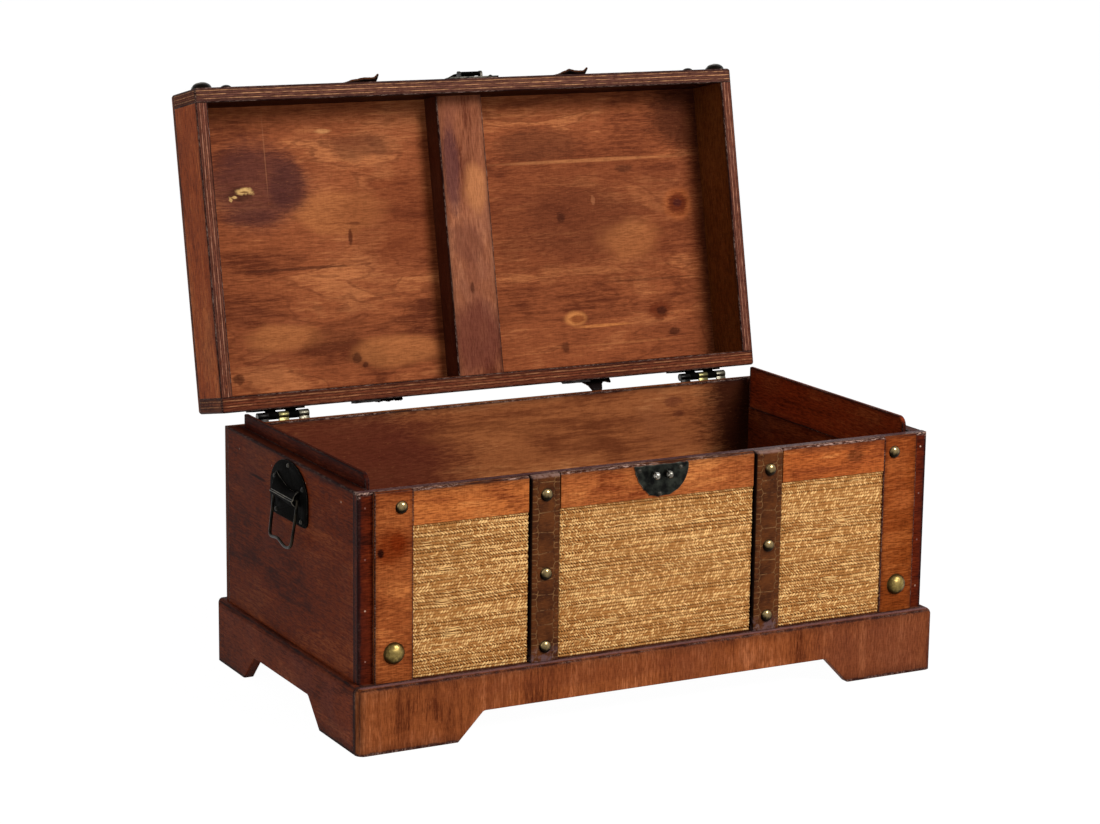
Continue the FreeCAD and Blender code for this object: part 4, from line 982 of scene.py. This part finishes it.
# Marks inside the lid: a big damp stain with a pale knot in it, small knots, rubs and the
# rings of a few larger knots. Each is placed with the lid shut.
panel_under = reach("lid_top_panel")[0].z
damp, knot_dark, knot_red = stain(90, 49, 42), stain(62, 28, 18), stain(100, 42, 22)
honey, straw = stain(196, 122, 70), stain(222, 178, 112)
mark_depth = 0.008
panel_marks = []
for x, y, across, along, colour, strength, ragged in (
        (-0.184, -0.124, 0.075, 0.028, honey, 0.5, 1.2),
        (-0.270, 0.035, 0.060, 0.020, honey, 0.5, 1.2),
        (-0.105, 0.063, 0.075, 0.022, honey, 0.5, 1.2),
        (-0.232, -0.054, 0.110, 0.0028, stain(84, 42, 26), 0.7, 1.0),
        (-0.199, 0.040, 0.040, 0.018, stain(110, 58, 34), 0.5, 1.2),
        (-0.145, -0.208, 0.060, 0.024, stain(96, 54, 34), 0.5, 1.4),
        (-0.290, -0.166, 0.074, 0.064, damp, 0.78, 0.5),
        (-0.246, -0.160, 0.028, 0.044, stain(70, 37, 35), 0.6, 0.9),
        (-0.295, -0.122, 0.045, 0.012, stain(76, 40, 36), 0.5, 1.2),
        (-0.3135, -0.155, 0.021, 0.010, stain(62, 34, 24), 0.6, 1.6),
        (-0.3095, -0.1575, 0.012, 0.0052, straw, 0.95, 2.4),
        (-0.3075, -0.1570, 0.007, 0.0012, stain(110, 74, 42), 0.9, 1.8),
        (-0.3220, -0.1510, 0.006, 0.0018, straw, 0.9, 2.2),
        (-0.3270, -0.1480, 0.003, 0.0026, straw, 0.8, 2.0),
        (-0.275, -0.205, 0.0008, 0.062, stain(170, 110, 74), 0.45, 0.2),
        (-0.190, -0.231, 0.012, 0.0035, stain(210, 146, 92), 0.7, 1.2),
        (-0.164, -0.091, 0.0032, 0.012, knot_dark, 0.85, 1.0),
        (-0.158, -0.1085, 0.012, 0.003, knot_dark, 0.55, 1.0),
        (-0.169, 0.068, 0.008, 0.009, knot_dark, 0.7, 1.2),
        (-0.158, 0.078, 0.005, 0.004, knot_dark, 0.7, 1.2),
        (-0.3376, 0.0827, 0.009, 0.007, knot_dark, 0.6, 1.6),
        (0.185, -0.100, 0.210, 0.120, stain(104, 50, 29), 0.45, 0.6),
        (-0.100, -0.110, 0.110, 0.070, stain(116, 54, 28), 0.45, 0.8),
        (0.126, -0.199, 0.076, 0.026, stain(104, 56, 34), 0.6, 0.3),
        (0.190, -0.175, 0.150, 0.0030, stain(184, 118, 72), 0.6, 1.0),
        (0.255, -0.161, 0.016, 0.006, stain(84, 44, 28), 0.6, 1.0),
        (0.173, -0.095, 0.110, 0.060, stain(100, 50, 30), 0.6, 0.8),
        (0.260, -0.062, 0.060, 0.030, honey, 0.35, 1.2),
        (0.3355, -0.1094, 0.026, 0.024, stain(178, 98, 52), 0.75, 0.5),
        (0.3355, -0.1094, 0.020, 0.018, knot_red, 0.95, 0.5),
        (0.3355, -0.1094, 0.008, 0.006, stain(70, 30, 26), 0.8, 0.7),
        (0.294, 0.038, 0.020, 0.014, knot_red, 0.8, 1.0),
        (0.297, 0.038, 0.009, 0.007, knot_dark, 0.8, 0.8),
        (0.3146, 0.068, 0.010, 0.006, knot_dark, 0.7, 1.0),
        (0.160, 0.040, 0.019, 0.011, stain(206, 132, 74), 0.9, 0.3),
        (0.163, 0.041, 0.013, 0.0065, stain(142, 76, 40), 0.95, 0.3),
        (0.205, 0.052, 0.044, 0.0024, stain(202, 126, 70), 0.8, 0.8),
        (0.1505, -0.0994, 0.007, 0.008, knot_dark, 0.7, 1.0),
        (0.202, -0.1200, 0.0030, 0.0075, stain(176, 112, 74), 0.5, 2.0),
        (0.1414, 0.0771, 0.007, 0.008, knot_dark, 0.65, 1.0),
        (0.240, 0.078, 0.110, 0.0016, stain(176, 108, 64), 0.5, 1.0),
        (0.280, -0.0066, 0.090, 0.0020, stain(88, 46, 28), 0.5, 1.0),
        (0.372, -0.230, 0.080, 0.060, stain(56, 24, 14), 0.75, 0.5),
        (0.392, -0.100, 0.034, 0.260, stain(72, 32, 18), 0.6, 0.5)):
    panel_marks.append(((x, y, panel_under), (across, along, mark_depth), colour, strength,
                        ragged))
wooden("lid_top_panel", "X", stain(100, 48, 28), stain(148, 80, 47), stain(190, 116, 70),
       edge=0.005, mottle=(stain(116, 60, 40), 0.3), marks=panel_marks, grit=0.36, rings=0.4)
batten_face, batten_mark_depth = 0.3465, 0.03
batten_marks = []
for x, y, across, along, colour, strength, ragged in (
        (-0.0254, -0.1739, 0.014, 0.070, stain(92, 52, 50), 0.8, 0.9),
        (0.006, -0.143, 0.020, 0.036, stain(190, 122, 76), 0.7, 0.7),
        (-0.0136, -0.070, 0.030, 0.030, stain(116, 66, 50), 0.6, 1.0),
        (-0.0072, 0.0525, 0.040, 0.050, stain(104, 52, 42), 0.7, 0.9),
        (-0.0101, -0.0122, 0.003, 0.009, knot_dark, 0.7, 1.0)):
    batten_marks.append(((x, y, batten_face), (across, along, batten_mark_depth), colour,
                         strength, ragged))
# The batten's left side is painted dark as shade.
wooden("lid_batten", "Y", stain(98, 48, 31), stain(148, 88, 60), stain(180, 116, 82),
       closed=((2, 1), (1, 1), (1, -1)), mottle=(stain(110, 60, 50), 0.5), edge=0.003,
       marks=batten_marks, faces=((0, -1, stain(60, 20, 8), 0.85),), grit=0.34)

# ---------------------------------------------------------------- leather straps on the lid
# The same leather runs over the lid from rail to rail; its cut ends curl off the rails and
# fray. A patch of black leather lies beside each strap's back end.
lid_face, lid_back, lid_crown = -0.28592, 0.12308, 0.3945
strap_root, lid_turn_radius, lid_strap_thick = 0.330, 0.006, 0.0035
lid_strap_step = 0.0012
tab_steps, bend_steps = 10, 8
glue_gap = 0.00005
front_tab, back_tab_lean = 0.0125, math.radians(52)


def bent(values, share):
    """The value at a share of the way along a list of evenly spaced values."""
    spot = max(0.0, min(0.9999, share)) * (len(values) - 1)
    step = int(spot)
    return values[step] + (values[step + 1] - values[step]) * (spot - step)


def strap_way(front_lean, front_length, back_lean, back_length):
    """Points (y, z) on the lid side of a strap, tip to tip, each with its outward direction."""
    way = []
    for lean, length, root, out in ((front_lean, front_length, lid_face, -1),
                                    (back_lean, back_length, lid_back, 1)):
        tab = []
        for step in range(tab_steps):
            far = length * (1 - step / tab_steps)
            tab.append((root + out * far * math.sin(lean) * (far / length) ** 0.5,
                        strap_root - far * math.cos(lean), out * math.cos(lean), math.sin(lean)))
        way.append(tab)
    front, back_tab = way
    rise = lid_crown - lid_turn_radius - strap_root
    steps = round(rise / lid_strap_step)
    up = [(lid_face, strap_root + rise * step / steps, -1.0, 0.0) for step in range(steps)]
    run = lid_back - lid_face - 2 * lid_turn_radius
    steps = round(run / lid_strap_step)
    over = [(lid_face + lid_turn_radius + run * step / steps, lid_crown, 0.0, 1.0)
            for step in range(steps + 1)]
    bend = []
    for step in range(1, bend_steps):
        angle = math.pi / 2 * step / bend_steps
        bend.append((lid_face + lid_turn_radius * (1 - math.cos(angle)),
                     lid_crown - lid_turn_radius * (1 - math.sin(angle)),
                     -math.cos(angle), math.sin(angle)))
    far_bend = [(lid_face + lid_back - y, z, -out_y, out_z)
                for y, z, out_y, out_z in reversed(bend)]
    down = [(lid_face + lid_back - y, z, -out_y, out_z) for y, z, out_y, out_z in reversed(up)]
    return front + up + bend + over + far_bend + down + back_tab[::-1]


def lid_strap(name, low_x, high_x, seed, leans, back_lengths, tip_slope, torn_rows):
    """A strap lofted across its width, thick, with the scales of the front straps."""
    width = high_x - low_x
    columns = round(width / lid_strap_step)
    ways = []
    for column in range(columns + 1):
        share = column / columns
        frayed = 0.0016 * noise.noise(Vector((share * 30, seed, 2.0)))
        ways.append(strap_way(math.radians(bent(leans, share)),
                              front_tab + tip_slope * share + frayed,
                              back_tab_lean, bent(back_lengths, share) + frayed))
    rows = len(ways[0])
    length = rows * lid_strap_step
    points = scale_points(seed, width, length)
    # The upper and under sheet, and after them the walls that close the four edges.
    verts, sides, creases = [], [], []
    for top in (True, False):
        for column, way in enumerate(ways):
            x = low_x + width * column / columns
            rim_round = min(column, columns - column) * lid_strap_step
            sink = 0.0012 if rim_round < 0.0005 else 0.0004 if rim_round < 0.0016 else 0.0
            torn = 0.42 + 0.9 * noise.noise(Vector((x * 260, seed, 5.0)))
            for row, (y, z, out_y, out_z) in enumerate(way):
                gap = crease(points, x - low_x, row * lid_strap_step)
                lift = (lid_strap_thick - 0.0006 * math.exp(-gap / crease_width) - sink
                        if top else glue_gap)
                if top and row > rows - torn_rows:
                    lift *= max(0.15, min(1.0, torn))
                verts.append(lid_open @ Vector((x, y + out_y * lift, z + out_z * lift)))
                # The underside counts as a side, so it is painted near black as shade under the
                # curled ends.
                sides.append(0.0 if top else 1.0)
                creases.append(gap)
    faces = []
    sheet = (columns + 1) * rows
    for column in range(columns):
        for row in range(rows - 1):
            corner = column * rows + row
            quad = (corner, corner + 1, corner + rows + 1, corner + rows)
            faces.append(quad)
            faces.append(tuple(sheet + spot for spot in reversed(quad)))
    for row in range(rows - 1):
        for column in (0, columns):
            one, two = column * rows + row, column * rows + row + 1
            edge = (two, one, sheet + one, sheet + two)
            faces.append(edge if column == 0 else edge[::-1])
    for column in range(columns):
        for row in (0, rows - 1):
            one, two = column * rows + row, (column + 1) * rows + row
            edge = (one, two, sheet + two, sheet + one)
            faces.append(edge if row == 0 else edge[::-1])
    thing = new_thing(name, verts, faces, [True] * len(faces), side=sides, gap=creases)
    pick(thing)
    shape_whole(bpy.ops.mesh.normals_make_consistent, inside=False)
    wear(thing, leather)
    return thing


lid_strap_shapes = {
    "left": (23, (2, 5, 10, 13, 11, 13, 36),
             (0.003, 0.004, 0.0035, 0.005, 0.003, 0.005, 0.004), 0.003, 30),
    "right": (29, (2, 12, 24, 12, 8, 10, 32),
              (0.003, 0.004, 0.008, 0.018, 0.019, 0.019, 0.019, 0.018, 0.008, 0.004, 0.004,
               0.005, 0.007), 0.002, 0)}
for side, (seed, leans, back_lengths, tip_slope, torn_rows) in lid_strap_shapes.items():
    low, high = reach("lid_strap_" + side)
    strap = lid_strap("leather_strap_lid_" + side, low.x, high.x, seed, leans, back_lengths,
                      tip_slope, torn_rows)
    finish_piece(strap, "lid", "strap_leather", "lid_strap_" + side)

patch_width, patch_height, patch_thick = 0.034, 0.020, 0.0028
patch_middle, patch_tuck = 0.3192, 0.002
black_leather = metal("black_leather", stain(14, 11, 10), stain(40, 32, 28), 0.5, 0.4, 0.0)
for side in ("left", "right"):
    low, high = reach("lid_strap_" + side)
    pick()
    bpy.ops.mesh.primitive_cube_add(size=1.0, location=(
        low.x - patch_width / 2 + patch_tuck, lid_back + patch_thick / 2, patch_middle))
    patch = bpy.context.object
    patch.name = "back_patch_" + side
    patch.scale = (patch_width, patch_thick, patch_height)
    bpy.ops.object.transform_apply(location=True, rotation=True, scale=True)
    shape_whole(bpy.ops.mesh.subdivide, number_cuts=7)
    for vertex in patch.data.vertices:
        if vertex.co.y > lid_back + patch_thick / 2:
            vertex.co.y += 0.0004 * noise.noise(vertex.co * 120)
        inward = (vertex.co.x - (low.x - patch_width + patch_tuck)) / patch_width
        narrower = 1 - 0.5 * max(0.0, 0.3 - inward) ** 0.7
        vertex.co.z = patch_middle + (vertex.co.z - patch_middle) * narrower
    ease_edges(patch, 0.0009, (black_leather, black_leather))
    patch.data.transform(lid_open)
    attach(patch, "lid")

# ---------------------------------------------------------------- hasp
# A blackened iron plate with two ears, nailed to the lid's front rail. The slotted tongue
# turns on a pin between the ears and closes over the staple.
ear_foot, ear_rise = 0.004, 0.0021
shield = worn_copy("hasp_plate", "hasp_shield", "lid", "black_iron", 0.0007,
                   (hasp_iron, worn_iron_and_highlight))
proud = lid_face - reach("hasp_plate")[0].y
shield.data.transform(lid_shut)
for vertex in shield.data.vertices:
    height = (lid_face - vertex.co.y - ear_foot) / (proud - ear_foot)
    vertex.co.y -= ear_rise * max(0.0, height)
shield.data.transform(lid_open)
worn_copy("hasp_tongue", "hasp_flap", "hasp", "black_iron", 0.0005, (black_iron, worn_iron_and_highlight))
wear(frame["nodes"]["hasp_nails"], black_iron)
wear(frame["nodes"]["hasp_pin"], worn_iron_and_highlight)

# ---------------------------------------------------------------- floor, light and camera
# A white sweep under and behind the chest, one broad soft lamp above the front and a weaker
# one to the left, and a long lens from the front left.
floor_size, floor_glow, floor_share = 30.0, 1.06, 0.93


def seen_straight(start):
    """1 for a ray from the camera, from a mirror or through glass, otherwise 0."""
    return (start.node("LightPath", {}, {}, "Is Camera Ray")
            + start.node("LightPath", {}, {}, "Is Glossy Ray")
            + start.node("LightPath", {}, {}, "Is Transmission Ray"))


pick()
bpy.ops.mesh.primitive_plane_add(size=floor_size, location=(0, 0, 0))
floor = bpy.context.object
floor.name = "floor"
material = bpy.data.materials.new("white_sweep")
material.use_nodes = True
tree = material.node_tree
tree.nodes.clear()
start = Tone(tree)
white = start.node("Emission", {}, {"Color": (1, 1, 1, 1), "Strength": floor_glow})
paper = start.node("BsdfDiffuse", {}, {"Color": (0.85, 0.85, 0.85, 1)})
share = seen_straight(start).least(1.0) * floor_share
mixed = start.node("MixShader", {}, {0: share, 1: paper, 2: white})
output = tree.nodes.new("ShaderNodeOutputMaterial")
tree.links.new(mixed.socket, output.inputs["Surface"])
floor.data.materials.append(material)

world = bpy.data.worlds.new("studio")
bpy.context.scene.world = world
world.use_nodes = True
tree = world.node_tree
background = tree.nodes["Background"]
background.inputs["Color"].default_value = (1, 1, 1, 1)
ambient = 0.33
connect(background, "Strength", (seen_straight(Tone(tree)) + ambient).least(1.0))


def lamp(name, place, aim, size, power):
    data = bpy.data.lights.new(name, "AREA")
    data.shape = "DISK"
    data.size = size
    data.energy = power
    thing = bpy.data.objects.new(name, data)
    thing.location = place
    thing.rotation_euler = (Vector(aim) - Vector(place)).to_track_quat("-Z", "Y").to_euler()
    bpy.context.collection.objects.link(thing)


lamp("overhead_front", (1.2, -2.8, 2.4), (0, 0, 0.3), 1.5, 122)
lamp("left_fill", (-3.0, -1.2, 1.4), (0, 0, 0.3), 2.0, 11)

camera_place = Vector((-1.705, -3.177, 1.0749))
camera_yaw = math.radians(28.28)
camera_pitch = math.radians(11.93)
camera_roll = math.radians(0.74)
focal_pixels = 2881.22
image_width = 1100
camera_data = bpy.data.cameras.new("camera")
camera_data.sensor_width = 36.0
camera_data.lens = focal_pixels * camera_data.sensor_width / image_width
camera = bpy.data.objects.new("camera", camera_data)
camera.matrix_world = (Matrix.Translation(camera_place) @ Matrix.Rotation(-camera_yaw, 4, "Z")
                       @ Matrix.Rotation(math.pi / 2 - camera_pitch, 4, "X")
                       @ Matrix.Rotation(camera_roll, 4, "Z"))
bpy.context.collection.objects.link(camera)
bpy.context.scene.camera = camera
bpy.context.scene.view_settings.view_transform = "Standard"
